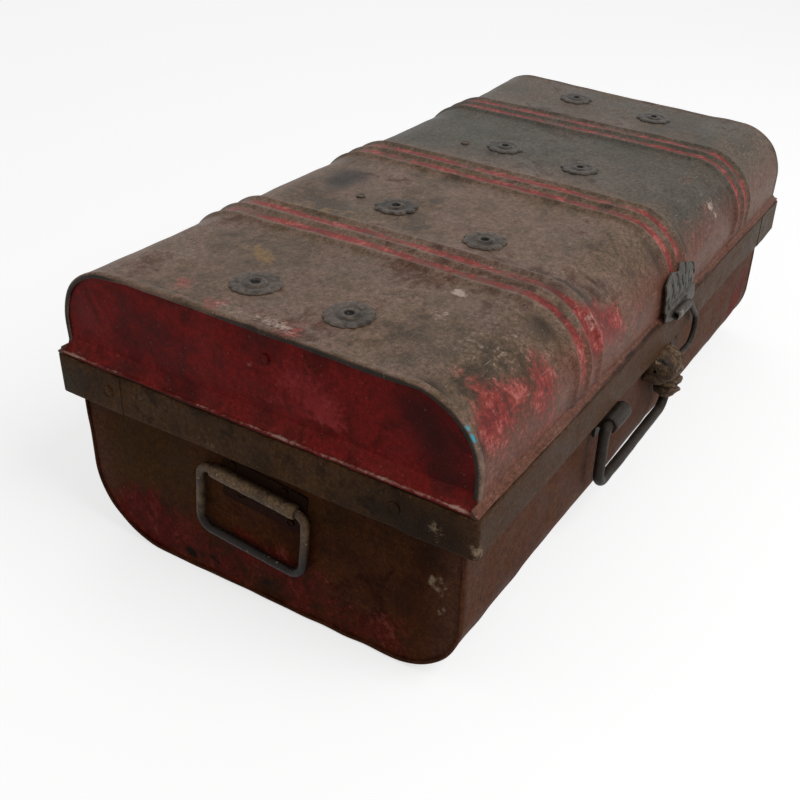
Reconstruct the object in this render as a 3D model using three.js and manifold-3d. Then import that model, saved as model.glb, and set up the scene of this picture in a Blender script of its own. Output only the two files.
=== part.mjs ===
// A painted sheet-metal travelling trunk: a deep base with a rim band, a ribbed lid, a hasp with a
// hook, a carrying bail on the front and a drop handle on each end.
// Millimetres. X runs along the trunk, -Y is the front with the hasp, +Z is up, and the origin is the
// middle of the underside.
import * as THREE from "three";
import { mergeVertices } from "three/addons/utils/BufferGeometryUtils.js";
import Module from "manifold-3d";

const wasm = await Module();
wasm.setup();

// Overall size over the rim band, the underside and the lid's end seams
const bodyLength = 590;
const bodyDepth = 320;
const bodyHeight = 210;

// Sheets, clearances and the overrun of the cutters
const skinSheet = 0.8;
const stripSheet = 1;
const strapSheet = 1.4;
const seat = 0.3;
const turningGap = 0.3;
const overrun = 5;

// Rim band of the base
const rimHeight = 28.5;
const rimJog = 2;
const flangeWidth = 9;
const strapRun = 55;
const shortStrapRun = 50;
const strapCorner = 3;
const rimRivetRadius = 4;
const rimRivetHeight = 1.6;
const rimRivetInset = 11;
const shortRivetInset = 5;

// Base skin and its folded end seams
const baseWallInset = 11;
const baseSeamInset = 7;
const frontRadius = 50;
const backRadius = 56;
const seamDepth = 1.2;
const baseSeamWidth = 6;

// Lid: its height above the rim, its skin, end seams, foot hem and pressed ribs
const lidRise = 68.5;
const lidWallInset = 5;
const lidSeamInsetLeft = 7;
const lidSeamInsetRight = 3.5;
const lidRadius = 45;
const lidTopDrop = 1.4;
const lidSeamWidth = 5.5;
const seamShoulder = 1;
const hemHeight = 5.5;
const hemThinHeight = 2.6;
const ridgeHeight = 2.4;
const ridgesPerRib = 3;
const ridgeFade = 5;
const ridgePitchShare = 0.0298;
const ribPlaceShares = [-0.254, 0.0136, 0.293];
const ridgeFormShares = [0, 0.5, 1, 0.5];
const hemTaperShares = [-0.378, -0.1];

// Pressed rosettes on the lid, as shares of the trunk's length and depth
const rosetteRadius = 17;
const rosetteLobes = 9;
const rosetteLobeDepth = 1.8;
const rosetteSheet = 0.9;
const rosetteRise = 1.4;
const eyeletRadius = 7.2;
const eyeletBore = 3.2;
const eyeletHeight = 3.4;
const rosettePlaceShares = [
  [-0.415, 0.094],
  [-0.415, -0.125],
  [-0.151, 0.094],
  [-0.176, -0.163],
  [0.136, 0.094],
  [0.124, -0.134],
  [0.422, 0.131],
  [0.414, -0.125],
];
const lidRivetRadius = 3;
const lidRivetHeight = 1.2;
const lidRivetPlaceShares = [
  [-0.146, 0.197],
  [0.1136, 0.194],
];

// Drop handles on the ends
const handleWidth = 83.5;
const handleDrop = 50.7;
const handleRod = 2.9;
const handleTopBend = 5;
const handleLowBend = 10;
const handleEndGap = 1;
const handleAxisDrop = 20.5;
const handleTilt = THREE.MathUtils.degToRad(5.5);
const handleShift = -2.5;
const sleeveLength = 66;
const sleeveWall = 1.4;
const sleeveShift = -1;
const plateWidth = 66;
const plateShift = 4;
const plateRise = 12.5;
const plateFall = 20;
const plateSheet = 1;
const plateCorner = 4;
const plateRivetRadius = 2.6;
const plateRivetHeight = 0.9;
const plateRivetShares = [
  [-0.38, 0.7],
  [0.24, 0.7],
  [-0.27, -0.6],
  [0.33, -0.68],
];

// Carrying bail on the front, with its two lugs and its leather binding
const bailRod = 4;
const bailLeft = -113;
const bailRight = 20;
const bailDrop = 49;
const bailTopBend = 5;
const bailLowBend = 12;
const bailStub = 27;
const bailAxisDrop = 12;
const bailAxisDepth = 11;
const lugLength = 27;
const lugWall = 2.2;
const lugNeck = 8;
const lugFootFall = 14;
const lugFootRise = 7.5;
const lugFootSheet = 1.4;
const lugSideGap = 2;
const bindingStart = 8;
const bindingLength = 29;
const bindingHalfWidth = 9.5;
const bindingInward = 9.6;
const bindingOutward = 11.5;
const bindingSides = 16;
const wrapRadius = 11;
const wrapSideGap = 0.8;
const wrapSides = 20;

// Hasp plate on the lid, its knuckle, the hook that hangs in it and the catch plate on the base
const haspLeft = -17;
const haspRight = 47;
const haspFootDrop = 2.5;
const haspShoulderRise = 16.5;
const haspStepRise = 23.5;
const haspTopRise = 29.5;
const haspSheet = 1.2;
const haspFrontGap = 0.7;
const haspStepIn = 7;
const haspTopIn = 17;
const knuckleLeft = -3;
const knuckleRight = 22;
const knuckleWall = 1.3;
const hookRod = 2.1;
const hookStandOff = 4.2;
const hookAxisRise = 2.5;
const hookTailIn = 2;
const hookReach = 52;
const hookFall = 47;
const hookShoulderFall = 27;
const hookTipRise = 2;
const hookTipLeft = 30;
const hookBend = 9;
const catchWidth = 20;
const catchHeight = 22;
const catchLeft = 47;
const catchDrop = 29;
const catchSheet = 1;
const catchRivetRadius = 2;
const catchRivetHeight = 0.6;

// Hinges on the back
const hingePlaceShares = [-0.12, 0.153];
const hingeLength = 60;
const hingeLeafDrop = 20;
const hingeLeafRise = 20;
const hingeSheet = 1.2;
const hingeKnuckle = 3.4;
const hingePin = 1.5;
const hingeGap = 0.4;
const hingePinHead = 1.2;

// Counts of sides and steps
const arcSteps = 6;
const boreSides = 14;
const rodSides = 8;
const rivetSides = 10;
const rivetSteps = 3;
const strapCornerSteps = 4;
const plateCornerSteps = 3;
const haspArcSteps = 3;
const rosetteSamples = 3;

// Sizes that follow from the ones above
const halfLength = bodyLength / 2;
const halfDepth = bodyDepth / 2;
const rimTop = bodyHeight - lidRise;
const rimBottom = rimTop - rimHeight;
const rimSkinX = halfLength - strapSheet - seat;
const rimSkinY = halfDepth - strapSheet - seat;
const stripX = rimSkinX + seat + stripSheet;
const stripY = rimSkinY + seat + stripSheet;
const rimSkinTop = rimTop - stripSheet - seat;
const baseWallY = halfDepth - baseWallInset;
const baseSeamX = halfLength - baseSeamInset;
const baseEndX = baseSeamX - seamDepth;
const lidFoot = rimTop + seat;
const lidWallY = halfDepth - lidWallInset;
const lidSeamLeft = halfLength - lidSeamInsetLeft;
const lidSeamRight = halfLength - lidSeamInsetRight;
const lidTop = bodyHeight - lidTopDrop;
const lidArcZ = lidTop - lidRadius;
const hemTop = lidFoot + hemHeight;
const ridgePitch = bodyLength * ridgePitchShare;
const inside = skinSheet + seat;

// Materials, one for each finish
function finish(color, roughness, metalness) {
  return () => new THREE.MeshStandardMaterial({ color, roughness, metalness });
}
const brownPaint = finish("#5c4b40", 0.6, 0.2);
const redPaint = finish("#561618", 0.55, 0.2);
const basePaint = finish("#3b2219", 0.6, 0.2);
const bandPaint = finish("#392d22", 0.6, 0.35);
const greySteel = finish("#4a4842", 0.55, 0.6);
const wornSteel = finish("#6b5a45", 0.5, 0.65);
const darkIron = finish("#2f3132", 0.5, 0.7);
const hidePale = finish("#7a6042", 0.85, 0);

// The trunk and its moving groups
const trunk = new THREE.Group();
const base = new THREE.Group();
const lid = new THREE.Group();
trunk.add(base, lid);

function addPiece(parent, name, geometry, material) {
  const mesh = new THREE.Mesh(geometry, material());
  mesh.name = name;
  parent.add(mesh);
  return mesh;
}

// Solids for joining and cutting
function solidOf(geometry) {
  const plain = geometry.clone();
  plain.deleteAttribute("normal");
  plain.deleteAttribute("uv");
  const merged = mergeVertices(plain);
  return new wasm.Manifold(
    new wasm.Mesh({
      numProp: 3,
      vertProperties: merged.attributes.position.array,
      triVerts: new Uint32Array(merged.index.array),
    }),
  );
}

function geometryOf(solid) {
  const { vertProperties, triVerts } = solid.getMesh();
  const geometry = new THREE.BufferGeometry();
  geometry.setAttribute("position", new THREE.BufferAttribute(vertProperties, 3));
  geometry.setIndex(new THREE.BufferAttribute(triVerts, 1));
  geometry.computeVertexNormals();
  return geometry;
}

function joined(...geometries) {
  return geometryOf(geometries.map(solidOf).reduce((whole, piece) => whole.add(piece)));
}

function cut(geometry, ...tools) {
  return geometryOf(tools.map(solidOf).reduce((whole, tool) => whole.subtract(tool), solidOf(geometry)));
}

function common(first, second) {
  return geometryOf(solidOf(first).intersect(solidOf(second)));
}

// Prisms: a flat outline pushed along one axis from one place to another
function prism(outline, length) {
  return new THREE.ExtrudeGeometry(new THREE.Shape(outline), { depth: length, bevelEnabled: false });
}

function prismAlongX(outlineYZ, start, end) {
  const turn = new THREE.Matrix4().makeBasis(
    new THREE.Vector3(0, 1, 0),
    new THREE.Vector3(0, 0, 1),
    new THREE.Vector3(1, 0, 0),
  );
  return prism(outlineYZ, end - start).applyMatrix4(turn).translate(start, 0, 0);
}

function prismAlongY(outlineXZ, start, end) {
  return prism(outlineXZ, end - start).rotateX(Math.PI / 2).translate(0, end, 0);
}

function prismAlongZ(outlineXY, start, end) {
  return prism(outlineXY, end - start).translate(0, 0, start);
}

function box(left, right) {
  return [
    new THREE.Vector2(left[0], left[1]),
    new THREE.Vector2(right[0], left[1]),
    new THREE.Vector2(right[0], right[1]),
    new THREE.Vector2(left[0], right[1]),
  ];
}

// Points on an arc, ends included, between two angles
function arc(centreX, centreY, radius, from, to, steps = arcSteps) {
  return Array.from({ length: steps + 1 }, (_, step) => {
    const angle = from + ((to - from) * step) / steps;
    return new THREE.Vector2(centreX + radius * Math.cos(angle), centreY + radius * Math.sin(angle));
  });
}

function circle(centreX, centreY, radius, sides) {
  return arc(centreX, centreY, radius, 0, 2 * Math.PI, sides).slice(0, sides);
}

// A path moved sideways, to its left for a positive distance, with mitred corners
function offsetPath(path, distance) {
  const sideOf = (from, to) => {
    const along = to.clone().sub(from).normalize();
    return new THREE.Vector2(-along.y, along.x);
  };
  return path.map((point, i) => {
    const before = i > 0 ? sideOf(path[i - 1], point) : sideOf(point, path[i + 1]);
    const after = i < path.length - 1 ? sideOf(point, path[i + 1]) : before;
    const mitre = before.clone().add(after).normalize();
    return point.clone().addScaledVector(mitre, distance / mitre.dot(before));
  });
}

// The outline of a sheet between two offsets of one path
function sheetOutline(path, outer, inner) {
  return [...offsetPath(path, outer), ...offsetPath(path, inner).reverse()];
}

// A round rod along straight runs with rounded corners
class RodPath extends THREE.CurvePath {
  constructor(corners, bends) {
    super();
    let from = corners[0];
    for (let i = 1; i < corners.length - 1; i++) {
      const corner = corners[i];
      const back = corners[i - 1].clone().sub(corner).normalize();
      const onward = corners[i + 1].clone().sub(corner).normalize();
      const into = corner.clone().addScaledVector(back, bends[i - 1]);
      const out = corner.clone().addScaledVector(onward, bends[i - 1]);
      this.add(new THREE.LineCurve3(from, into));
      this.add(new THREE.QuadraticBezierCurve3(into, corner, out));
      from = out;
    }
    this.add(new THREE.LineCurve3(from, corners[corners.length - 1]));
  }
}

function rod(corners, bends, radius, stepLength) {
  const path = new RodPath(corners, bends);
  return new THREE.ExtrudeGeometry(new THREE.Shape(circle(0, 0, radius, rodSides)), {
    extrudePath: path,
    steps: Math.round(path.getLength() / stepLength),
    bevelEnabled: false,
  });
}

// A low domed rivet head that stands on the plane z = 0
function rivetHead(radius, height) {
  const sweep = arc(0, 0, 1, 0, Math.PI / 2, rivetSteps);
  const profile = [new THREE.Vector2(0, 0)];
  sweep.forEach((point) => profile.push(new THREE.Vector2(radius * point.x, height * point.y)));
  profile[profile.length - 1].x = 0;
  return new THREE.LatheGeometry(profile, rivetSides).rotateX(Math.PI / 2);
}

// Base: one sheet bent from the back wall through the underside to the front wall, with folded end
// seams, and jogged outward behind the rim band
function basePath() {
  return [
    new THREE.Vector2(baseWallY, rimBottom - rimJog),
    ...arc(baseWallY - backRadius, backRadius, backRadius, 0, -Math.PI / 2),
    ...arc(frontRadius - baseWallY, frontRadius, frontRadius, -Math.PI / 2, -Math.PI),
    new THREE.Vector2(-baseWallY, rimBottom - rimJog),
  ];
}

function rimPath(side) {
  const climb = [
    new THREE.Vector2(side * baseWallY, rimBottom - rimJog),
    new THREE.Vector2(side * rimSkinY, rimBottom),
    new THREE.Vector2(side * rimSkinY, rimSkinTop),
  ];
  return side > 0 ? climb.reverse() : climb;
}

function baseSkin() {
  const whole = [...rimPath(1).slice(0, 2), ...basePath(), ...rimPath(-1).slice(1)];
  const skin = prismAlongX(sheetOutline(whole, 0, -skinSheet), -baseSeamX, baseSeamX);
  const seam = sheetOutline(basePath(), 0, -baseSeamWidth);
  const seams = [
    prismAlongX(seam, baseEndX + seat, baseSeamX),
    prismAlongX(seam, -baseSeamX, -baseEndX - seat),
  ];
  const rims = [];
  for (const side of [1, -1]) {
    const rim = sheetOutline(rimPath(side), 0, -skinSheet);
    rims.push(prismAlongX(rim, strapCorner - halfLength, halfLength - strapCorner));
  }
  return joined(skin, ...seams, ...rims);
}

// An end panel, for the right-hand end or mirrored for the left
function baseEnd(side) {
  const wall = [
    new THREE.Vector2(rimSkinX, rimSkinTop),
    new THREE.Vector2(rimSkinX, rimBottom),
    new THREE.Vector2(baseEndX, rimBottom - rimJog),
    new THREE.Vector2(baseEndX, -overrun),
  ];
  const outline = sheetOutline(wall, 0, -skinSheet).map(({ x, y }) => new THREE.Vector2(side * x, y));
  const sheet = prismAlongY(outline, -halfDepth, halfDepth);
  const whole = [...rimPath(1).slice(0, 2), ...basePath(), ...rimPath(-1).slice(1)];
  const room = prismAlongX(offsetPath(whole, -inside), -bodyLength, bodyLength);
  return common(sheet, room);
}

addPiece(base, "base_skin", baseSkin(), basePaint);
addPiece(base, "base_end_right", baseEnd(1), basePaint);
addPiece(base, "base_end_left", baseEnd(-1), basePaint);

// Rim band: a straight strip along each side and a strap around each corner, each with a flange
// turned in over the rim
function rimStrip(face, left, right) {
  const top = [
    new THREE.Vector2(-face, rimBottom),
    new THREE.Vector2(-face, rimTop),
    new THREE.Vector2(flangeWidth - face, rimTop),
  ];
  return prismAlongX(sheetOutline(top, 0, -stripSheet), left, right);
}

const longStripEnd = halfLength - strapRun - seat;
const endStripLong = halfDepth - strapRun - seat;
const endStripShort = halfDepth - shortStrapRun - seat;
const strips = [
  ["rim_strip_front", 0, stripY, -longStripEnd, longStripEnd],
  ["rim_strip_back", Math.PI, stripY, -longStripEnd, longStripEnd],
  ["rim_strip_left", -Math.PI / 2, stripX, -endStripLong, endStripShort],
  ["rim_strip_right", Math.PI / 2, stripX, -endStripLong, endStripShort],
];
for (const [name, turn, face, left, right] of strips)
  addPiece(base, name, rimStrip(face, left, right), bandPaint).rotation.z = turn;

// A corner strap for the corner at the right and the back, or mirrored front to back
function rimStrap(side, endRun) {
  const centre = [halfLength - strapCorner, halfDepth - strapCorner];
  const bend = arc(...centre, strapCorner, Math.PI / 2, 0, strapCornerSteps);
  const path = [
    new THREE.Vector2(halfLength - strapRun, halfDepth),
    ...bend,
    new THREE.Vector2(halfLength, halfDepth - endRun),
  ];
  const place = (outline) => outline.map((point) => new THREE.Vector2(point.x, side * point.y));
  const flange = [
    ...path,
    new THREE.Vector2(halfLength - flangeWidth, halfDepth - endRun),
    new THREE.Vector2(halfLength - flangeWidth, halfDepth - flangeWidth),
    new THREE.Vector2(halfLength - strapRun, halfDepth - flangeWidth),
  ];
  return joined(
    prismAlongZ(place(sheetOutline(path, 0, -strapSheet)), rimBottom, rimTop),
    prismAlongZ(place(flange), rimTop - stripSheet, rimTop),
  );
}

const straps = [
  ["rim_strap_back_right", 1, shortStrapRun, 0],
  ["rim_strap_front_right", -1, strapRun, 0],
  ["rim_strap_front_left", 1, shortStrapRun, Math.PI],
  ["rim_strap_back_left", -1, strapRun, Math.PI],
];
for (const [name, side, endRun, turn] of straps)
  addPiece(base, name, rimStrap(side, endRun), bandPaint).rotation.z = turn;

// Rivets of the rim band, on its end faces: one through a strap, one through the strip's end
const rimMiddle = (rimBottom + rimTop) / 2;
const longRivetY = halfDepth - strapRun + rimRivetInset;
const shortRivetY = halfDepth - shortStrapRun - shortRivetInset;
const rimRivets = [
  ["rim_rivet_left_back", -1, longRivetY, halfLength],
  ["rim_rivet_left_front", -1, -shortRivetY, stripX],
  ["rim_rivet_right_front", 1, -longRivetY, halfLength],
  ["rim_rivet_right_back", 1, shortRivetY, stripX],
];
for (const [name, side, y, face] of rimRivets) {
  const rivet = addPiece(base, name, rivetHead(rimRivetRadius, rimRivetHeight), bandPaint);
  rivet.rotation.y = (side * Math.PI) / 2;
  rivet.position.set(side * (face + seat), y, rimMiddle);
}

// Lid skin: the cross section from the front foot over the top to the back foot
function lidPath() {
  return [
    new THREE.Vector2(-lidWallY, lidFoot),
    new THREE.Vector2(-lidWallY, hemTop + seat),
    new THREE.Vector2(-lidWallY, hemTop + ridgeFade),
    ...arc(lidRadius - lidWallY, lidArcZ, lidRadius, Math.PI, Math.PI / 2),
    ...arc(lidWallY - lidRadius, lidArcZ, lidRadius, Math.PI / 2, 0),
    new THREE.Vector2(lidWallY, hemTop + ridgeFade),
    new THREE.Vector2(lidWallY, hemTop + seat),
    new THREE.Vector2(lidWallY, lidFoot),
  ];
}

// The skin's places along the trunk, and how far it stands out at each
function lidStations() {
  const stations = [];
  const quarter = ridgePitch / ridgeFormShares.length;
  const steps = ridgesPerRib * ridgeFormShares.length;
  for (const share of ribPlaceShares)
    for (let step = 0; step <= steps; step++)
      stations.push({
        x: share * bodyLength + (step - steps / 2) * quarter,
        rise: ridgeHeight * ridgeFormShares[step % ridgeFormShares.length],
      });
  for (const [side, seamX] of [[-1, lidSeamLeft], [1, lidSeamRight]]) {
    stations.push({ x: side * seamX, rise: lidTopDrop });
    stations.push({ x: side * (seamX - lidSeamWidth + seamShoulder), rise: lidTopDrop });
    stations.push({ x: side * (seamX - lidSeamWidth), rise: 0 });
  }
  return stations.sort((a, b) => a.x - b.x);
}

// A closed solid through equal closed sections, with a flat cap at each end
function loft(sections) {
  const count = sections[0].length;
  const positions = sections.flatMap((section) => section.flatMap((point) => point.toArray()));
  const index = [];
  for (let s = 0; s < sections.length - 1; s++)
    for (let i = 0; i < count; i++) {
      const a = s * count + i;
      const b = s * count + ((i + 1) % count);
      index.push(a, a + count, b, b, a + count, b + count);
    }
  const flat = sections[0].map((point) => new THREE.Vector2(point.y, point.z));
  const last = (sections.length - 1) * count;
  for (const [a, b, c] of THREE.ShapeUtils.triangulateShape(flat, [])) {
    index.push(c, b, a);
    index.push(last + a, last + b, last + c);
  }
  const geometry = new THREE.BufferGeometry();
  geometry.setAttribute("position", new THREE.Float32BufferAttribute(positions, 3));
  geometry.setIndex(index);
  return geometry;
}

function lidSkin() {
  const path = lidPath();
  const sections = lidStations().map(({ x, rise }) => {
    const low = (i) => i < 2 || i > path.length - 3;
    const section = (distance) => {
      const still = offsetPath(path, distance);
      const raised = offsetPath(path, distance + rise);
      return path.map((_, i) => (low(i) ? still[i] : raised[i]));
    };
    const outline = [...section(0), ...section(-skinSheet).reverse()];
    return outline.map((point) => new THREE.Vector3(x, point.x, point.y));
  });
  const seam = sheetOutline(path, 0, -lidSeamWidth);
  return joined(
    loft(sections),
    prismAlongX(seam, lidSeamRight - seamDepth + seat, lidSeamRight),
    prismAlongX(seam, -lidSeamLeft, seamDepth - seat - lidSeamLeft),
  );
}

addPiece(lid, "lid_skin", lidSkin(), brownPaint);

// End panels of the lid, inside the skin's end seams
const lidEndOutline = offsetPath(lidPath(), -inside);
const lidEnd = (start) => prismAlongX(lidEndOutline, start, start + skinSheet);
addPiece(lid, "lid_end_right", lidEnd(lidSeamRight - seamDepth - skinSheet), redPaint);
addPiece(lid, "lid_end_left", lidEnd(seamDepth - lidSeamLeft), redPaint);

// Hem strips around the lid's foot: the front one thins out towards the hasp
const hemInner = lidWallY + seat;
function frontHem() {
  const [full, thin] = hemTaperShares;
  const outline = [
    new THREE.Vector2(-stripX, lidFoot),
    new THREE.Vector2(stripX, lidFoot),
    new THREE.Vector2(stripX, lidFoot + hemThinHeight),
    new THREE.Vector2(thin * bodyLength, lidFoot + hemThinHeight),
    new THREE.Vector2(full * bodyLength, hemTop),
    new THREE.Vector2(-stripX, hemTop),
  ];
  return prismAlongY(outline, -stripY, -hemInner);
}

addPiece(lid, "lid_hem_front", frontHem(), redPaint);
const backHem = box([hemInner, lidFoot], [stripY, hemTop]);
addPiece(lid, "lid_hem_back", prismAlongX(backHem, -stripX, stripX), redPaint);
const endHem = (start, end) => prismAlongY(box([start, lidFoot], [end, hemTop]), -lidWallY, lidWallY);
addPiece(lid, "lid_hem_right", endHem(lidSeamRight + seat, stripX), redPaint);
addPiece(lid, "lid_hem_left", endHem(-stripX, -lidSeamLeft - seat), redPaint);

// Rosettes: a lobed pressed disc round a raised eyelet with an open bore
function rosette() {
  const around = rosetteLobes * rosetteSamples;
  const rings = [
    [eyeletBore, 0, 0],
    [eyeletBore, eyeletHeight - rosetteSheet, 0],
    [(eyeletBore + eyeletRadius) / 2, eyeletHeight, 0],
    [eyeletRadius, rosetteSheet, 0],
    [(eyeletRadius + rosetteRadius) / 2, rosetteRise + rosetteSheet, 0],
    [rosetteRadius, rosetteSheet, 1],
    [rosetteRadius, 0, 1],
  ];
  const positions = [];
  rings.forEach(([radius, height, lobed]) => {
    for (let i = 0; i < around; i++) {
      const angle = (2 * Math.PI * i) / around;
      const wave = (1 - Math.abs(Math.sin((angle * rosetteLobes) / 2))) * rosetteLobeDepth;
      const reach = radius - lobed * wave;
      positions.push(reach * Math.cos(angle), reach * Math.sin(angle), height);
    }
  });
  const index = [];
  rings.forEach((_, r) => {
    const next = (r + 1) % rings.length;
    for (let i = 0; i < around; i++) {
      const j = (i + 1) % around;
      const [a, b, c, d] = [r * around + i, r * around + j, next * around + i, next * around + j];
      index.push(a, b, c, b, d, c);
    }
  });
  const geometry = new THREE.BufferGeometry();
  geometry.setAttribute("position", new THREE.Float32BufferAttribute(positions, 3));
  geometry.setIndex(index.reverse());
  return geometry;
}

rosettePlaceShares.forEach(([alongShare, acrossShare], i) => {
  const piece = addPiece(lid, `rosette_${i + 1}`, rosette(), greySteel);
  piece.position.set(alongShare * bodyLength, acrossShare * bodyDepth, lidTop + seat);
});
lidRivetPlaceShares.forEach(([alongShare, acrossShare], i) => {
  const rivet = addPiece(lid, `lid_rivet_${i + 1}`, rivetHead(lidRivetRadius, lidRivetHeight), brownPaint);
  rivet.position.set(alongShare * bodyLength, acrossShare * bodyDepth, lidTop + seat);
});

// Drop handles: a plate with a rolled sleeve on the end panel, and a ring that turns in the sleeve.
// Made with the sleeve's axis along local Y and the outside towards local +X.
const sleeveRadius = handleRod + turningGap + sleeveWall;
const handleAxisX = baseEndX + seat + sleeveRadius;

function handlePlate() {
  const back = baseEndX + seat - handleAxisX;
  const sheet = new THREE.Shape();
  const [low, high] = [-plateFall, plateRise];
  const half = plateWidth / 2;
  sheet.moveTo(plateCorner - half, low);
  sheet.lineTo(half - plateCorner, low);
  sheet.absarc(half - plateCorner, low + plateCorner, plateCorner, -Math.PI / 2, 0);
  sheet.absarc(half - plateCorner, high - plateCorner, plateCorner, 0, Math.PI / 2);
  sheet.absarc(plateCorner - half, high - plateCorner, plateCorner, Math.PI / 2, Math.PI);
  sheet.absarc(plateCorner - half, low + plateCorner, plateCorner, Math.PI, Math.PI * 1.5);
  const outline = sheet.getPoints(plateCornerSteps);
  const plate = prismAlongX(outline, back, back + plateSheet).translate(0, plateShift, 0);
  const [sleeveLow, sleeveHigh] = [sleeveShift - sleeveLength / 2, sleeveShift + sleeveLength / 2];
  const sleeve = prismAlongY(circle(0, 0, sleeveRadius, boreSides), sleeveLow, sleeveHigh);
  const bore = circle(0, 0, handleRod + turningGap, boreSides);
  const drill = prismAlongY(bore, sleeveLow - overrun, sleeveHigh + overrun);
  return cut(joined(plate, sleeve), drill);
}

function handleRing() {
  const half = handleWidth / 2;
  const corners = [
    new THREE.Vector3(0, handleEndGap / 2, 0),
    new THREE.Vector3(0, half, 0),
    new THREE.Vector3(0, half, -handleDrop),
    new THREE.Vector3(0, -half, -handleDrop),
    new THREE.Vector3(0, -half, 0),
    new THREE.Vector3(0, -handleEndGap / 2, 0),
  ];
  const bends = [handleTopBend, handleLowBend, handleLowBend, handleTopBend];
  return rod(corners, bends, handleRod, handleLowBend / 2).translate(0, handleShift, 0);
}

for (const [end, turn, tilt] of [["left", Math.PI, -handleTilt], ["right", 0, 0]]) {
  const assembly = new THREE.Group();
  const side = Math.cos(turn);
  assembly.rotation.set(-tilt * side, 0, turn, "ZYX");
  assembly.position.set(side * handleAxisX, 0, rimBottom - handleAxisDrop);
  base.add(assembly);
  addPiece(assembly, `handle_plate_${end}`, handlePlate(), wornSteel);
  addPiece(assembly, `end_handle_${end}`, handleRing(), darkIron);
  plateRivetShares.forEach(([acrossShare, heightShare], i) => {
    const head = rivetHead(plateRivetRadius, plateRivetHeight);
    const rivet = addPiece(assembly, `plate_rivet_${end}_${i + 1}`, head, greySteel);
    rivet.rotation.y = Math.PI / 2;
    const across = plateShift + acrossShare * plateWidth;
    const height = heightShare * (heightShare > 0 ? plateRise : plateFall);
    rivet.position.set(baseEndX + seat + plateSheet + seat - handleAxisX, across, height);
  });
}

// Front bail: a round rod whose two stubs turn in lugs on the front wall
const bailAxisY = -(baseWallY + bailAxisDepth);
const bailAxisHeight = rimBottom - bailAxisDrop;
const lugRadius = bailRod + turningGap + lugWall;

function lug(left) {
  const wall = -baseWallY - seat;
  const sleeve = circle(bailAxisY, bailAxisHeight, lugRadius, boreSides);
  const neck = box(
    [bailAxisY, bailAxisHeight - lugNeck / 2],
    [wall - lugFootSheet / 2, bailAxisHeight + lugNeck / 2],
  );
  const foot = box(
    [wall - lugFootSheet, bailAxisHeight - lugFootFall],
    [wall, bailAxisHeight + lugFootRise],
  );
  const bore = circle(bailAxisY, bailAxisHeight, bailRod + turningGap, boreSides);
  const right = left + lugLength;
  const outlines = [sleeve, neck, foot].map((outline) => prismAlongX(outline, left, right));
  const drill = prismAlongX(bore, left - overrun, right + overrun);
  return cut(joined(...outlines), drill);
}

const lugOffset = bailRod + lugSideGap;
addPiece(base, "front_lug_left", lug(bailLeft + lugOffset), darkIron);
addPiece(base, "front_lug_right", lug(bailRight - lugOffset - lugLength), darkIron);

const bail = new THREE.Group();
bail.position.set(0, bailAxisY, bailAxisHeight);
base.add(bail);
const bailCorners = [
  new THREE.Vector3(bailLeft + bailStub, 0, 0),
  new THREE.Vector3(bailLeft, 0, 0),
  new THREE.Vector3(bailLeft, 0, -bailDrop),
  new THREE.Vector3(bailRight, 0, -bailDrop),
  new THREE.Vector3(bailRight, 0, 0),
  new THREE.Vector3(bailRight - bailStub, 0, 0),
];
const bailBends = [bailTopBend, bailLowBend, bailLowBend, bailTopBend];
addPiece(bail, "front_bail", rod(bailCorners, bailBends, bailRod, bailLowBend / 2), darkIron);

// Leather binding around the bail's right arm: a swelling sleeve, fuller towards the outside
function leatherBinding() {
  const formShares = [0.55, 0.92, 1, 1, 0.9, 0.6];
  const bore = bailRod + turningGap;
  const ring = (share, z) =>
    Array.from({ length: bindingSides }, (_, i) => {
      const angle = (2 * Math.PI * i) / bindingSides;
      const [across, outward] = [Math.cos(angle), Math.sin(angle)];
      const depth = outward < 0 ? bindingOutward : bindingInward;
      const swell = (half) => bore + (half - bore) * share;
      return new THREE.Vector3(swell(bindingHalfWidth) * across, swell(depth) * outward, z);
    });
  const inner = (z) =>
    circle(0, 0, bore / Math.cos(Math.PI / bindingSides), bindingSides).map(
      (point) => new THREE.Vector3(point.x, point.y, z),
    );
  const rings = formShares.map((share, i) =>
    ring(share, -bindingStart - (bindingLength * i) / (formShares.length - 1)),
  );
  rings.push(inner(-bindingStart - bindingLength), inner(-bindingStart));
  const positions = rings.flatMap((points) => points.flatMap((point) => point.toArray()));
  const index = [];
  rings.forEach((_, r) => {
    const next = (r + 1) % rings.length;
    for (let i = 0; i < bindingSides; i++) {
      const j = (i + 1) % bindingSides;
      const [a, b] = [r * bindingSides + i, r * bindingSides + j];
      const [c, d] = [next * bindingSides + i, next * bindingSides + j];
      index.push(a, c, b, b, c, d);
    }
  });
  const geometry = new THREE.BufferGeometry();
  geometry.setAttribute("position", new THREE.Float32BufferAttribute(positions, 3));
  geometry.setIndex(index);
  return geometry;
}

addPiece(bail, "leather_binding", leatherBinding(), hidePale).position.x = bailRight;

// Leather wrap over the right lug, open towards the wall, and clear of the binding that swings by
function leatherWrap() {
  const wall = -baseWallY - seat - lugFootSheet - seat;
  const left = bailRight - lugOffset - lugLength;
  const right = bailRight - bindingHalfWidth - wrapSideGap;
  const outer = prismAlongX(circle(bailAxisY, bailAxisHeight, wrapRadius, wrapSides), left, right);
  const reach = (half) => [bailAxisHeight - half, bailAxisHeight + half];
  const [low, high] = reach(wrapRadius + overrun);
  const behind = prismAlongX(box([wall, low], [0, high]), left - overrun, right + overrun);
  const sleeve = circle(bailAxisY, bailAxisHeight, lugRadius + seat, boreSides);
  const drill = prismAlongX(sleeve, left - overrun, right + overrun);
  const [neckLow, neckHigh] = reach(lugNeck / 2 + seat);
  const slot = prismAlongX(box([bailAxisY, neckLow], [0, neckHigh]), left - overrun, right + overrun);
  return cut(outer, behind, drill, slot);
}

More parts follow.
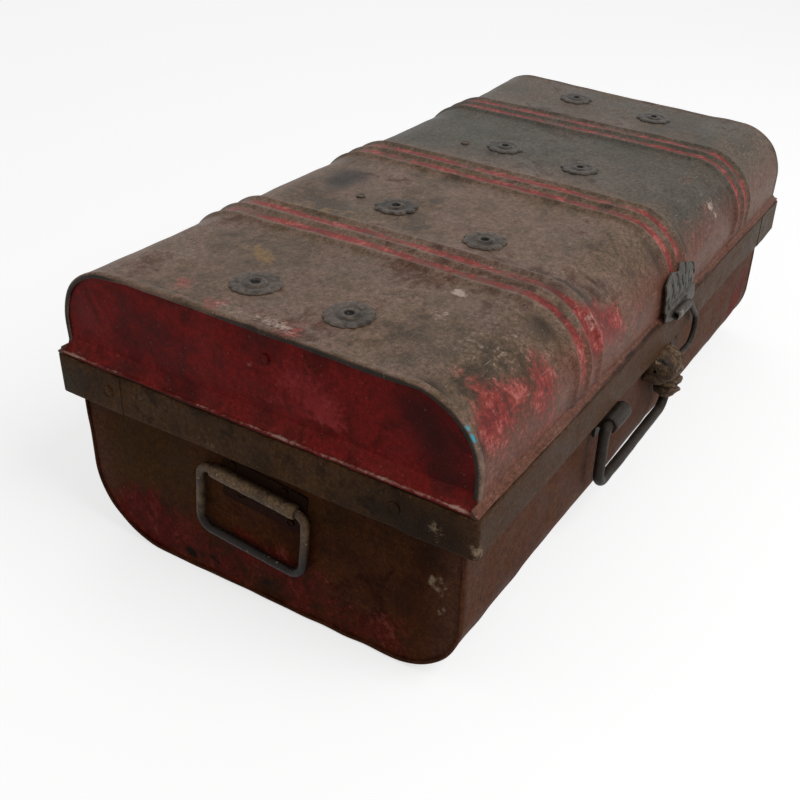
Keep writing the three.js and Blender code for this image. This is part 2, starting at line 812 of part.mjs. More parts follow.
addPiece(base, "leather_wrap", leatherWrap(), hidePale);

// Hasp plate: bent over the hem and up the lid's front, with stepped sides and a rolled knuckle
const haspFrontY = stripY + haspFrontGap;
const haspStandOff = ridgeHeight + seat;
const haspLidY = lidWallY + haspStandOff;
const haspFoot = rimTop - haspFootDrop;
const haspShoulder = rimTop + haspShoulderRise;
const haspStep = rimTop + haspStepRise;
const haspTop = rimTop + haspTopRise;
const hookAxisY = -(halfDepth + hookStandOff);
const hookAxisHeight = rimTop + hookAxisRise;

function haspPlate() {
  const climb = Math.asin((haspTop - lidArcZ) / (lidRadius + haspStandOff));
  const path = [
    new THREE.Vector2(-haspFrontY, haspFoot),
    new THREE.Vector2(-haspFrontY, hemTop + seat),
    new THREE.Vector2(-haspLidY, hemTop + seat + haspFrontY - haspLidY),
    ...arc(lidRadius - lidWallY, lidArcZ, lidRadius + haspStandOff, Math.PI, Math.PI - climb, haspArcSteps),
  ];
  const sheet = prismAlongX(sheetOutline(path, haspSheet, 0), haspLeft, haspRight);
  const outline = [
    new THREE.Vector2(haspLeft, haspFoot - overrun),
    new THREE.Vector2(haspRight, haspFoot - overrun),
    new THREE.Vector2(haspRight, haspShoulder),
    new THREE.Vector2(haspRight - haspStepIn, haspStep),
    new THREE.Vector2(haspRight - haspTopIn, haspStep),
    new THREE.Vector2(haspRight - haspTopIn, haspTop + overrun),
    new THREE.Vector2(haspLeft + haspTopIn, haspTop + overrun),
    new THREE.Vector2(haspLeft + haspTopIn, haspStep),
    new THREE.Vector2(haspLeft + haspStepIn, haspStep),
    new THREE.Vector2(haspLeft, haspShoulder),
  ];
  const shaped = common(sheet, prismAlongY(outline, -bodyDepth, 0));
  const boreRadius = hookRod + turningGap;
  const barrel = circle(hookAxisY, hookAxisHeight, boreRadius + knuckleWall, boreSides);
  const drill = circle(hookAxisY, hookAxisHeight, boreRadius, boreSides);
  return cut(
    joined(shaped, prismAlongX(barrel, knuckleLeft, knuckleRight)),
    prismAlongX(drill, knuckleLeft - overrun, knuckleRight + overrun),
  );
}

addPiece(lid, "hasp_plate", haspPlate(), greySteel);

// Iron hook: its straight tail turns in the knuckle, then it curves down and back to the left
const hook = new THREE.Group();
hook.position.set(0, hookAxisY, hookAxisHeight);
lid.add(hook);
const hookCorners = [
  new THREE.Vector3(knuckleLeft + hookTailIn, 0, 0),
  new THREE.Vector3(knuckleRight + hookBend / 2, 0, 0),
  new THREE.Vector3(hookReach, 0, -hookShoulderFall),
  new THREE.Vector3(hookReach, 0, -hookFall),
  new THREE.Vector3(hookTipLeft, 0, hookTipRise - hookFall),
];
const hookBends = [hookBend / 2, hookBend, hookBend];
addPiece(hook, "hasp_hook", rod(hookCorners, hookBends, hookRod, hookBend / 3), darkIron);

// Catch plate on the front wall behind the hook, with its rivet
const catchFace = baseWallY + seat;
const catchBottom = rimBottom - catchDrop;
const catchOutline = box([catchLeft, catchBottom], [catchLeft + catchWidth, catchBottom + catchHeight]);
addPiece(base, "catch_plate", prismAlongY(catchOutline, -catchFace - catchSheet, -catchFace), greySteel);
const catchRivet = addPiece(base, "catch_rivet", rivetHead(catchRivetRadius, catchRivetHeight), greySteel);
catchRivet.rotation.x = Math.PI / 2;
catchRivet.position.set(
  catchLeft + catchWidth / 2,
  -catchFace - catchSheet - seat,
  catchBottom + catchHeight / 2,
);

// Back hinges: each has a leaf on the rim band, a jogged leaf on the lid and a headed pin
const leafBackY = stripY + seat;
const hingeY = leafBackY + hingeKnuckle;
const hingeZ = rimTop + seat / 2;
const thirdOfHinge = hingeLength / 3;
const hingeHalf = hingeLength / 2;

function hingeBarrel(start, end) {
  return prismAlongX(circle(hingeY, hingeZ, hingeKnuckle, boreSides), start, end);
}

const hingeDrill = () => {
  const bore = circle(hingeY, hingeZ, hingePin + turningGap, boreSides);
  return prismAlongX(bore, -hingeLength, hingeLength);
};

function baseLeaf() {
  const low = [leafBackY, hingeZ - hingeLeafDrop];
  const notchTop = hingeZ - hingeKnuckle - hingeGap;
  const pieces = [prismAlongX(box(low, [leafBackY + hingeSheet, notchTop]), -hingeHalf, hingeHalf)];
  const ends = [
    [-hingeHalf, -thirdOfHinge / 2 - hingeGap / 2],
    [thirdOfHinge / 2 + hingeGap / 2, hingeHalf],
  ];
  for (const [start, end] of ends) {
    pieces.push(prismAlongX(box(low, [leafBackY + hingeSheet, hingeZ]), start, end));
    pieces.push(hingeBarrel(start, end));
  }
  return cut(joined(...pieces), hingeDrill());
}

function lidLeaf() {
  const jogTop = hemTop + seat + leafBackY - hemInner;
  const path = [
    new THREE.Vector2(hemInner, hingeZ + hingeLeafRise),
    new THREE.Vector2(hemInner, jogTop),
    new THREE.Vector2(leafBackY, hemTop + seat),
    new THREE.Vector2(leafBackY, hingeZ + hingeKnuckle + hingeGap),
  ];
  const middle = thirdOfHinge / 2 - hingeGap / 2;
  const tongue = box([leafBackY, hingeZ], [leafBackY + hingeSheet, hemTop + seat]);
  const pieces = [
    prismAlongX(sheetOutline(path, hingeSheet, 0), -hingeHalf, hingeHalf),
    prismAlongX(tongue, -middle, middle),
    hingeBarrel(-middle, middle),
  ];
  return cut(joined(...pieces), hingeDrill());
}

function pinOfHinge() {
  const shank = prismAlongX(circle(hingeY, hingeZ, hingePin, boreSides), -hingeHalf - seat, hingeHalf + seat);
  const head = circle(hingeY, hingeZ, hingePin + turningGap + seat, boreSides);
  const outer = hingeHalf + seat + hingePinHead;
  return joined(
    shank,
    prismAlongX(head, -outer, -hingeHalf - seat),
    prismAlongX(head, hingeHalf + seat, outer),
  );
}

for (const [index, side] of ["left", "right"].entries()) {
  const x = hingePlaceShares[index] * bodyLength;
  addPiece(base, `hinge_leaf_base_${side}`, baseLeaf(), darkIron).position.x = x;
  addPiece(lid, `hinge_leaf_lid_${side}`, lidLeaf(), darkIron).position.x = x;
  addPiece(base, `hinge_pin_${side}`, pinOfHinge(), darkIron).position.x = x;
}

export default trunk;
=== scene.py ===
import math
import bmesh
import bpy
import numpy as np
from mathutils import Matrix, Vector


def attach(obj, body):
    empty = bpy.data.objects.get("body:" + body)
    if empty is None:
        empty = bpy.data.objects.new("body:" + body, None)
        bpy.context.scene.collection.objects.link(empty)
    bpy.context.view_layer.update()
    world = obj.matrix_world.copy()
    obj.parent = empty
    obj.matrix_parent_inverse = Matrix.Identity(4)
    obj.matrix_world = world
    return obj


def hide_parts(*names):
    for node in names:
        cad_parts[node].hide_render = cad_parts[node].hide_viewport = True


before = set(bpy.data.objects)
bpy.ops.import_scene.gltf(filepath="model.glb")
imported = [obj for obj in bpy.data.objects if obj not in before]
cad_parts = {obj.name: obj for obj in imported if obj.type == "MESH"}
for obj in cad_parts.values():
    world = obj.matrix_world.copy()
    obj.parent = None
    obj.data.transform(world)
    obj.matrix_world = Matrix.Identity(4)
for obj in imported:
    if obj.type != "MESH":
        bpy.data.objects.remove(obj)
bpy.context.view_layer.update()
mm = 0.001  # shapes are worked out in millimetres, meshes are in metres


# Camera, as the photograph was taken
camera = {
    "place": (-690.403, -358.633, 495.489),
    "azimuth": -62.770,
    "elevation": 31.988,
    "roll": 3.943,
    "lens": 46.99,
    "sensor": 36,
    "shiftX": -0.10,
    "nearest": 0.01,
}


def lookRotation(azimuth, elevation, roll):
    # the camera's back points to (sin az cos el, -cos az cos el, sin el), and roll turns it about that
    az, el, turn = (math.radians(a) for a in (azimuth, elevation, roll))
    back = Vector((math.sin(az) * math.cos(el), -math.cos(az) * math.cos(el), math.sin(el)))
    right = (-back).cross(Vector((0, 0, 1))).normalized()
    up = right.cross(-back)
    sideways = math.cos(turn) * right + math.sin(turn) * up
    upward = -math.sin(turn) * right + math.cos(turn) * up
    return Matrix((sideways, upward, back)).transposed().to_4x4()


def addToScene(name, data):
    thing = bpy.data.objects.new(name, data)
    bpy.context.scene.collection.objects.link(thing)
    return thing


cameraData = bpy.data.cameras.new("camera")
cameraData.lens = camera["lens"]
cameraData.sensor_width = camera["sensor"]
cameraData.shift_x = camera["shiftX"]
cameraData.clip_start = camera["nearest"]
cameraObject = addToScene("camera", cameraData)
cameraObject.matrix_world = Matrix.Translation(Vector(camera["place"]) * mm) @ lookRotation(
    camera["azimuth"], camera["elevation"], camera["roll"]
)
bpy.context.scene.camera = cameraObject
bpy.context.scene.view_settings.view_transform = "Standard"
print("camera set")


# Curves and random fields


def smoothStep(value, low, high):
    # 0 below low, 1 above high, and 3t^2 - 2t^3 between them
    t = np.clip((value - low) / (high - low), 0, 1)
    return t * t * (3 - 2 * t)


def bell(value, centre, width, power=2):
    # 1 at the centre and less to both sides: exp(-((value - centre) / width)^power)
    return np.exp(-(((value - centre) / width) ** power))


hashPrimes = (374761393, 668265263, 1274126177, 974634777)


def lattice(cell, seed):
    # a random value in 0..1 for each whole-numbered cell, the same on every run
    first, second, third, fourth = hashPrimes
    h = cell[..., 0] * first + cell[..., 1] * second + cell[..., 2] * third + seed * fourth
    h = (h ^ (h >> 13)) * third & 0x7FFFFFFF
    h = (h ^ (h >> 16)) * second & 0x7FFFFFFF
    return ((h ^ (h >> 15)) & 0xFFFFF) / 0xFFFFF


def noise(points, size, seed):
    # smooth random field in -1..1, its cells size millimetres wide
    p = np.asarray(points, float) / size
    cell = np.floor(p).astype(np.int64)
    f = p - cell
    f = f * f * (3 - 2 * f)
    total = 0
    for corner in range(8):
        step = np.array([corner & 1, corner >> 1 & 1, corner >> 2 & 1])
        weight = np.prod(np.where(step == 1, f, 1 - f), -1)
        total = total + weight * lattice(cell + step, seed)
    return 2 * total - 1


def patches(points, size, seed):
    # the same field in 0..1
    return 0.5 + 0.5 * noise(points, size, seed)


def shaken(points, amount, size, seed):
    # every point moved by up to amount millimetres in a smooth random direction
    moves = [noise(points, size, seed + k) for k in range(3)]
    return points + amount * np.stack(moves, -1)


# What turns: the axes of the two end handles, of the bail and of the hook, and where each starts and ends
handleAxis = {"x": 291.7, "z": 92.5, "from": -34, "to": 32}
bailAxis = {"y": -160.0, "z": 101.0, "from": -107, "to": 14}
hookAxis = {"y": -164.2, "z": 144.0, "from": -3, "to": 24}
bearings = [[(axis[end], axis["y"], axis["z"]) for end in ("from", "to")] for axis in (bailAxis, hookAxis)]
for side in (-1, 1):
    bearings.append([(side * handleAxis["x"], handleAxis[end], handleAxis["z"]) for end in ("from", "to")])
dents = {"depth": 0.7, "size": 74, "seed": 3, "stillWithin": 9, "fullFrom": 30}


def stillness(points):
    # 0 near the bearings and 1 well away: smoothStep of the distance to the nearest axis
    away = np.full(len(points), np.inf)
    for start, end in bearings:
        line = np.subtract(end, start)
        share = np.clip((points - start) @ line / (line @ line), 0, 1)
        away = np.minimum(away, np.linalg.norm(points - start - share[:, None] * line, axis=1))
    return smoothStep(away, dents["stillWithin"], dents["fullFrom"])


def dented(points, extra=0.35, size=16, seed=7):
    # the trunk's slow dents, one field for every piece so that neighbours move together, and the piece's own
    # knocks; the slow dents fade out at the bearings, so that what turns there stays on its axis
    points = np.asarray(points, float).reshape(-1, 3)
    slow = shaken(points, dents["depth"], dents["size"], dents["seed"]) - points
    return shaken(points + slow * stillness(points)[:, None], extra, size, seed)


def steady(points):
    # only the slow dents, for parts that turn in one another
    return dented(points, extra=0.0)


def blots(points, marks):
    # sum of soft round marks, each (x, y, z, radius, strength) in millimetres
    total = np.zeros(len(points))
    for x, y, z, radius, strength in marks:
        away = ((points - (x, y, z)) ** 2).sum(-1)
        total += strength * np.exp(-away / radius**2)
    return total


def marksAt(x, *marks):
    # marks that share one X, each given as (y, z, radius, strength)
    return [(x, *mark) for mark in marks]


# Sections and paths


def arcPoints(centreX, centreY, radius, start, end, count):
    a = np.radians(np.linspace(start, end, count))
    return np.stack([centreX + radius * np.cos(a), centreY + radius * np.sin(a)], 1)


def joinPaths(*paths):
    # one path from several, without the doubled joints
    kept = [paths[0]] + [p[1:] if np.allclose(p[0], q[-1]) else p for q, p in zip(paths, paths[1:])]
    return np.concatenate(kept)


def leftNormals(path):
    # unit normals to the left of a flat path, from the chord through each point's neighbours
    tangent = np.gradient(path, axis=0)
    tangent = tangent / np.linalg.norm(tangent, axis=1, keepdims=True)
    return np.stack([-tangent[:, 1], tangent[:, 0]], 1)


def runLengths(path):
    # the distance walked along a path up to each of its points
    return np.concatenate([[0], np.cumsum(np.linalg.norm(np.diff(path, axis=0), axis=1))])


def respaced(path, step, spare=0):
    # the same path with its points evenly apart, about a step from one to the next
    length = runLengths(path)
    at = np.linspace(0, length[-1], int(length[-1] / step) + spare)
    return np.stack([np.interp(at, length, column) for column in path.T], 1)


def bentPath(corners, bends, step):
    # straight runs joined by round bends, its points about a step apart
    corners = np.asarray(corners, float)
    runs = [corners[:1]]
    for before, here, after, bend in zip(corners, corners[1:], corners[2:], bends):
        back = (before - here) / np.linalg.norm(before - here)
        on = (after - here) / np.linalg.norm(after - here)
        half = np.arccos(np.clip(back @ on, -1, 1)) / 2
        middle = here + (back + on) / np.linalg.norm(back + on) * bend / np.sin(half)
        first, last = here + back * bend / np.tan(half), here + on * bend / np.tan(half)
        turn = math.pi - 2 * half
        share = np.linspace(0, 1, 12)[:, None]
        swing = np.sin((1 - share) * turn) * (first - middle) + np.sin(share * turn) * (last - middle)
        runs.append(middle + swing / np.sin(turn))
    return respaced(np.concatenate(runs + [corners[-1:]]), step, 1)


def circleAngles(count):
    return np.linspace(0, 2 * math.pi, count, endpoint=False)


# Bodies from numpy grids, each as points and faces


def gridFaces(rows, cols, wrapRows=False, wrapCols=False):
    # the quads of a grid of points, as rows of four indices
    r = np.arange(rows if wrapRows else rows - 1)
    c = np.arange(cols if wrapCols else cols - 1)
    row, col = np.meshgrid(r, c, indexing="ij")
    nextRow, nextCol = (row + 1) % rows, (col + 1) % cols
    quads = [row * cols + col, nextRow * cols + col, nextRow * cols + nextCol, row * cols + nextCol]
    return np.stack(quads, -1).reshape(-1, 4)


def sheetBody(outer, inner):
    # a bent sheet: a closed loop of outer and inner points at each station, joined along, with strips at its
    # ends; the third part says which faces are its inner side
    stations, count = outer.shape[:2]
    points = np.concatenate([outer, inner[:, ::-1]], 1).reshape(-1, 3)
    faces = gridFaces(stations, 2 * count, wrapCols=True)
    column = np.tile(np.arange(2 * count), stations - 1)
    inside = (column >= count) & (column < 2 * count - 1)
    i = np.arange(count - 1)
    strip = np.stack([i, i + 1, 2 * count - 2 - i, 2 * count - 1 - i], 1)
    faces = np.concatenate([faces, strip, strip[:, ::-1] + (stations - 1) * 2 * count])
    return points, faces.tolist(), np.concatenate([inside, np.zeros(2 * len(strip), bool)])


def skinBody(x, section, rise, sheet, pull=0):
    # a bent sheet along X, one row of its section for each X: moved outwards by rise and along Y by pull
    outward = leftNormals(section)
    outer, inner = (np.empty((len(x), len(section), 3)) for _ in range(2))
    for side, depth in ((outer, 0), (inner, sheet)):
        side[..., 0] = x[:, None]
        side[..., 1:] = section + outward * np.asarray(rise - depth)[..., None]
        side[..., 1] += pull
    return sheetBody(outer, inner)


def carriedBody(path, side, up, profile):
    # a closed profile carried along a path: path point + side * first coordinate + up * second coordinate
    count, size = len(path), np.shape(profile)[-2]
    profile = np.broadcast_to(profile, (count, size, 2))
    side, up = (np.broadcast_to(way, path.shape)[:, None] for way in (side, up))
    loops = path[:, None] + side * profile[..., :1] + up * profile[..., 1:]
    faces = gridFaces(count, size, wrapCols=True).tolist()
    faces += [list(range(size)), list(range(count * size - 1, (count - 1) * size - 1, -1))]
    return loops.reshape(-1, 3), faces


def turnedBody(radii, heights, sides, lobes=1):
    # a profile of radii and heights turned about Z; lobes multiplies the radius by row and angle
    angle = circleAngles(sides)
    reach = np.asarray(radii, float)[:, None] * lobes * np.ones(sides)
    rise = np.broadcast_to(np.asarray(heights, float).reshape(len(radii), -1), reach.shape)
    points = np.stack([reach * np.cos(angle), reach * np.sin(angle), rise], -1)
    return points.reshape(-1, 3), gridFaces(len(radii), sides, wrapCols=True).tolist()


def panelBody(outline, rings, front, back):
    # a panel across X with any outline: rings shrink from it to its centre, on the front face and on the back
    # face; front and back give X from Y and Z
    centre = (outline.min(0) + outline.max(0)) / 2
    share = np.linspace(0, 1, rings) ** 0.8
    y, z = np.moveaxis(centre + share[:, None, None] * (outline - centre), -1, 0)
    faceRows, backRows = (np.stack([np.broadcast_to(x(y, z), y.shape), y, z], -1) for x in (front, back))
    rows = np.concatenate([faceRows, backRows[::-1]])
    return rows.reshape(-1, 3), gridFaces(len(rows), len(outline), wrapCols=True).tolist()


def rodBody(path, across, radius, sides, wear, held=(0, 0)):
    # a round bar along a flat path; across is the normal of its plane; its ends are rounded over and its
    # radius wavers; held gives the lengths at its two ends that turn in a bearing, where it is a tenth
    # thinner
    tangent = np.gradient(path, axis=0)
    tangent /= np.linalg.norm(tangent, axis=1, keepdims=True)
    run = runLengths(path)
    left = run[-1] - run
    near = np.clip(np.minimum(run, left) / radius, 0, 1)
    thick = np.sqrt(np.clip(1 - (1 - near) ** 2, 0.06, 1)) * (1 + wear * noise(path, 9, 101))
    free = [smoothStep(length, end - 1.5, end) for length, end in zip((run, left), held)]
    thick = thick * (0.9 + 0.1 * np.minimum(*free))
    angle = circleAngles(sides)
    circle = np.stack([np.cos(angle), np.sin(angle)], 1) * radius
    return carriedBody(path, across, np.cross(tangent, across), circle * thick[:, None, None])


def tubeBody(outer, inner):
    # rings of points along a tube's outside and back along its bore, closed at both ends
    rows = np.concatenate([outer, inner[::-1]])
    return rows.reshape(-1, 3), gridFaces(len(rows), rows.shape[1], wrapRows=True, wrapCols=True).tolist()


def ringsAlong(axis, at, first, second):
    # rings of points at the given places along an axis, 0 for X, 1 for Y and 2 for Z, with their two other
    # coordinates
    along = np.broadcast_to(np.asarray(at, float)[:, None], first.shape)
    return np.stack({0: [along, first, second], 1: [first, along, second], 2: [first, second, along]}[axis], -1)


def roundRings(axis, at, radius, sides):
    angle = circleAngles(sides)
    reach = np.broadcast_to(np.asarray(radius, float), (len(at), sides))
    return ringsAlong(axis, at, reach * np.cos(angle), reach * np.sin(angle))


def together(*bodies):
    # several closed bodies as one
    faces, start = [], 0
    for points, own in bodies:
        faces += [[index + start for index in face] for face in own]
        start += len(points)
    return np.concatenate([points for points, _ in bodies]), faces


def makePiece(name, body, finish, ride, masks, stands=None, weld=False, angle=50):
    # body is points, faces and, where finish names two finishes, which faces take the second one;
    # masks is the wear and painted light at each point, or a function that gives it
    points, faces = body[:2]
    quads = np.array([f for f in faces if len(f) == 4])
    a, b, c, d = (points[quads[:, k]] for k in range(4))
    volume = (np.cross(b - a, c - a) * a).sum() + (np.cross(c - a, d - a) * a).sum()
    if volume < 0:
        faces = [f[::-1] for f in faces]
    mesh = bpy.data.meshes.new(name)
    mesh.from_pydata((points * mm).tolist(), [], faces)
    for finishName in [finish] if isinstance(finish, str) else finish:
        mesh.materials.append(finishes[finishName])
    if len(mesh.materials) > 1:
        mesh.polygons.foreach_set("material_index", body[2].astype(np.int32))
    for key, values in (masks(points) if callable(masks) else masks).items():
        layer = mesh.attributes.new(key, "FLOAT", "POINT")
        layer.data.foreach_set("value", np.broadcast_to(values, len(points)).astype(np.float32))
    if weld:
        edit = bmesh.new()
        edit.from_mesh(mesh)
        bmesh.ops.remove_doubles(edit, verts=edit.verts, dist=0.002 * mm)
        edit.to_mesh(mesh)
        edit.free()
    mesh.shade_smooth()
    mesh.set_sharp_from_angle(angle=math.radians(angle))
    mesh.update()
    piece = addToScene(name, mesh)
    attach(piece, ride)
    if stands:
        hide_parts(stands)


# Finishes


def linearColour(code):
    # an sRGB hex value as linear light, opaque: v / 12.92 up to 0.04045, ((v + 0.055) / 1.055)^2.4 above it
    values = [int(code[i : i + 2], 16) / 255 for i in (1, 3, 5)]
    return tuple(v / 12.92 if v <= 0.04045 else ((v + 0.055) / 1.055) ** 2.4 for v in values) + (1.0,)


def addNode(tree, kind, settings=None, links=None, out=0):
    # adds a node with its settings, its fixed inputs by name or number, its ramp stops and its links;
    # gives one of its outputs
    node = tree.nodes.new("ShaderNode" + kind)
    for key, value in (settings or {}).items():
        if key == "stops":
            ramp = node.color_ramp
            while len(ramp.elements) < len(value):
                ramp.elements.new(0.5)
            for element, (place, colour) in zip(ramp.elements, value):
                element.position = place
                element.color = linearColour(colour)
        elif isinstance(key, int) or key in node.inputs:
            node.inputs[key].default_value = value
        else:
            setattr(node, key, value)
    for key, socket in (links or {}).items():
        tree.links.new(socket, node.inputs[key])
    return node.outputs[out] if node.outputs else None


def newFinish(name):
    material = bpy.data.materials.new(name)
    material.use_nodes = True
    material.node_tree.nodes.clear()
    return material, material.node_tree


def perMillimetre(size):
    # a texture scale whose features are about size millimetres wide on Object coordinates in metres
    return 1 / (size * mm)


# Noise textures of every finish; the stretched ones are strokes down the walls and long thin scratches
textures = {
    "broad": {"Detail": 4, "Roughness": 0.6},
    "cloud": {"Detail": 7, "Roughness": 0.66, "Distortion": 0.6},
    "fine": {"Detail": 6, "Roughness": 0.72},
    "grit": {"Detail": 3, "Roughness": 0.6},
    "stroke": {"Detail": 7, "Roughness": 0.74, "Distortion": 0.4},
    "scratch": {"Detail": 2, "Roughness": 0.5},
}
stretched = {
    "stroke": {"Rotation": (0, 0, 0.35), "Scale": (4.2, 1.1, 0.9)},
    "scratch": {"Rotation": (0.5, 0.35, 0.6), "Scale": (1, 14, 11)},
}
# Fields mixed from two others: the first one's share, and the rest is the second
mixtures = {
    "stain": ("broad", 0.55, "cloud"),
    "frayed": ("fine", 0.6, "stroke"),
    "patchy": ("frayed", 0.55, "cloud"),
}
# Mottle: the limits between which a field darkens or lightens the coat, and its share of the finish's mottle
mottles = {"fine": (0.3, 0.72, 1), "grit": (0.32, 0.68, 0.6)}
# Masks of wear and painted light: how much cloudy and frayed noise breaks each one up, and the limits it
# is smooth-stepped between
wearAndLightMasks = {
    "red": (1.1, 1.5, 0.28, 0.78),
    "pale": (1.0, 2.2, 0.48, 0.95),
    "dark": (0.7, 0.5, 0.2, 1.05),
    "ochre": (1.7, 3.4, 0.4, 1.0),
}
# What most finishes share, sizes in millimetres
usualLook = {
    "fine": 3.2, "grit": 1.1, "stroke": 6.5, "scratch": 11, "dots": 7, "metal": 0.0, "fleck": "#3fa3b4",
    "scratchLimits": (0.69, 0.75), "chipLimits": (0.13, 0.07), "cloudLimits": (0.3, 0.7),
    "gritShare": 0.5, "wornDepth": -0.35, "bump": 0.8,
}


def agedPaint(name, look):
    # Old brushed oil paint. The coat is a ramp over broad and cloudy noise, mixed with the cool and the warm
    # tone by their masks and multiplied by fine and by gritty mottle. Over it lie the undercoat, a ramp over
    # patchy noise, then ochre stains, dark dirt and painted shade, blue flecks, pale scuffs and painted
    # highlights with thin scratches, and round chips, each mixed in by its mask. A mask of wear and painted
    # light is its attribute plus cloudy and frayed noise, smooth-stepped between two limits. Roughness
    # follows the cloudy noise, and the relief is fine noise plus half the grit, lower where the undercoat
    # shows.
    look = {**usualLook, **look}
    material, tree = newFinish(name)
    place = addNode(tree, "TexCoord", out="Object")
    field = {}
    for key, settings in textures.items():
        at = addNode(tree, "Mapping", stretched[key], {0: place}) if key in stretched else place
        field[key] = addNode(tree, "TexNoise", {"Scale": perMillimetre(look[key]), **settings}, {0: at})
    for key, (first, share, second) in mixtures.items():
        rest = addNode(tree, "Math", {"operation": "MULTIPLY", 1: 1 - share}, {0: field[second]})
        added = {"operation": "MULTIPLY_ADD", 1: share}
        field[key] = addNode(tree, "Math", added, {0: field[first], 2: rest})
    mask = {}
    for key in ("cool", "warm", "fleck", *wearAndLightMasks):
        mask[key] = addNode(tree, "Attribute", {"attribute_name": key}, out="Fac")
    for key, (cloud, frayed, low, high) in wearAndLightMasks.items():
        for grain, weight in (("cloud", cloud), ("frayed", frayed)):
            added = {"operation": "MULTIPLY_ADD", 1: weight}
            mask[key] = addNode(tree, "Math", added, {0: field[grain], 2: mask[key]})
        middle = (cloud + frayed) * 0.5
        limits = {"interpolation_type": "SMOOTHSTEP", 1: middle + low, 2: middle + high}
        mask[key] = addNode(tree, "MapRange", limits, {0: mask[key]})
    low, high = look["scratchLimits"]
    line = addNode(tree, "MapRange", {1: low, 2: high, 4: look["scratches"]}, {0: field["scratch"]})
    mask["pale"] = addNode(tree, "Math", {"operation": "MAXIMUM"}, {0: mask["pale"], 1: line})
    dots = {"Scale": perMillimetre(look["dots"]), "Randomness": 1.0}
    away = addNode(tree, "TexVoronoi", dots, {0: place}, out="Distance")
    low, high = look["chipLimits"]
    mask["chip"] = addNode(tree, "MapRange", {1: low, 2: high, 4: look["chips"]}, {0: away})
    coat = addNode(tree, "ValToRGB", {"stops": look["coat"]}, {0: field["stain"]})
    for key in ("cool", "warm"):
        tone = {"data_type": "RGBA", 7: linearColour(look[key])}
        coat = addNode(tree, "Mix", tone, {0: mask[key], 6: coat}, out=2)
    multiply = {"data_type": "RGBA", "blend_type": "MULTIPLY", 0: 1.0}
    for key, (low, high, share) in mottles.items():
        swing = share * look["mottle"]
        shade = addNode(tree, "MapRange", {1: low, 2: high, 3: 1 - swing, 4: 1 + swing}, {0: field[key]})
        coat = addNode(tree, "Mix", multiply, {6: coat, 7: shade}, out=2)
    under = addNode(tree, "ValToRGB", {"stops": look["under"]}, {0: field["patchy"]})
    coat = addNode(tree, "Mix", {"data_type": "RGBA"}, {0: mask["red"], 6: coat, 7: under}, out=2)
    for key in ("ochre", "dark", "fleck", "pale", "chip"):
        tone = {"data_type": "RGBA", 7: linearColour(look[key])}
        coat = addNode(tree, "Mix", tone, {0: mask[key], 6: coat}, out=2)
    (low, high), (smoothest, roughest) = look["cloudLimits"], look["rough"]
    rough = addNode(tree, "MapRange", {1: low, 2: high, 3: smoothest, 4: roughest}, {0: field["cloud"]})
    gritty = {"operation": "MULTIPLY_ADD", 1: look["gritShare"]}
    relief = addNode(tree, "Math", gritty, {0: field["grit"], 2: field["fine"]})
    worn = {"operation": "MULTIPLY_ADD", 1: look["wornDepth"]}
    relief = addNode(tree, "Math", worn, {0: mask["red"], 2: relief})
    depth = {"Strength": look["relief"], "Distance": look["bump"] * mm}
    bump = addNode(tree, "Bump", depth, {"Height": relief})
    surface = {"Specular IOR Level": look["gloss"], "Metallic": look["metal"]}
    maps = {"Base Color": coat, "Roughness": rough, "Normal": bump}
    shader = addNode(tree, "BsdfPrincipled", surface, maps)
    addNode(tree, "OutputMaterial", {}, {0: shader})
    return material


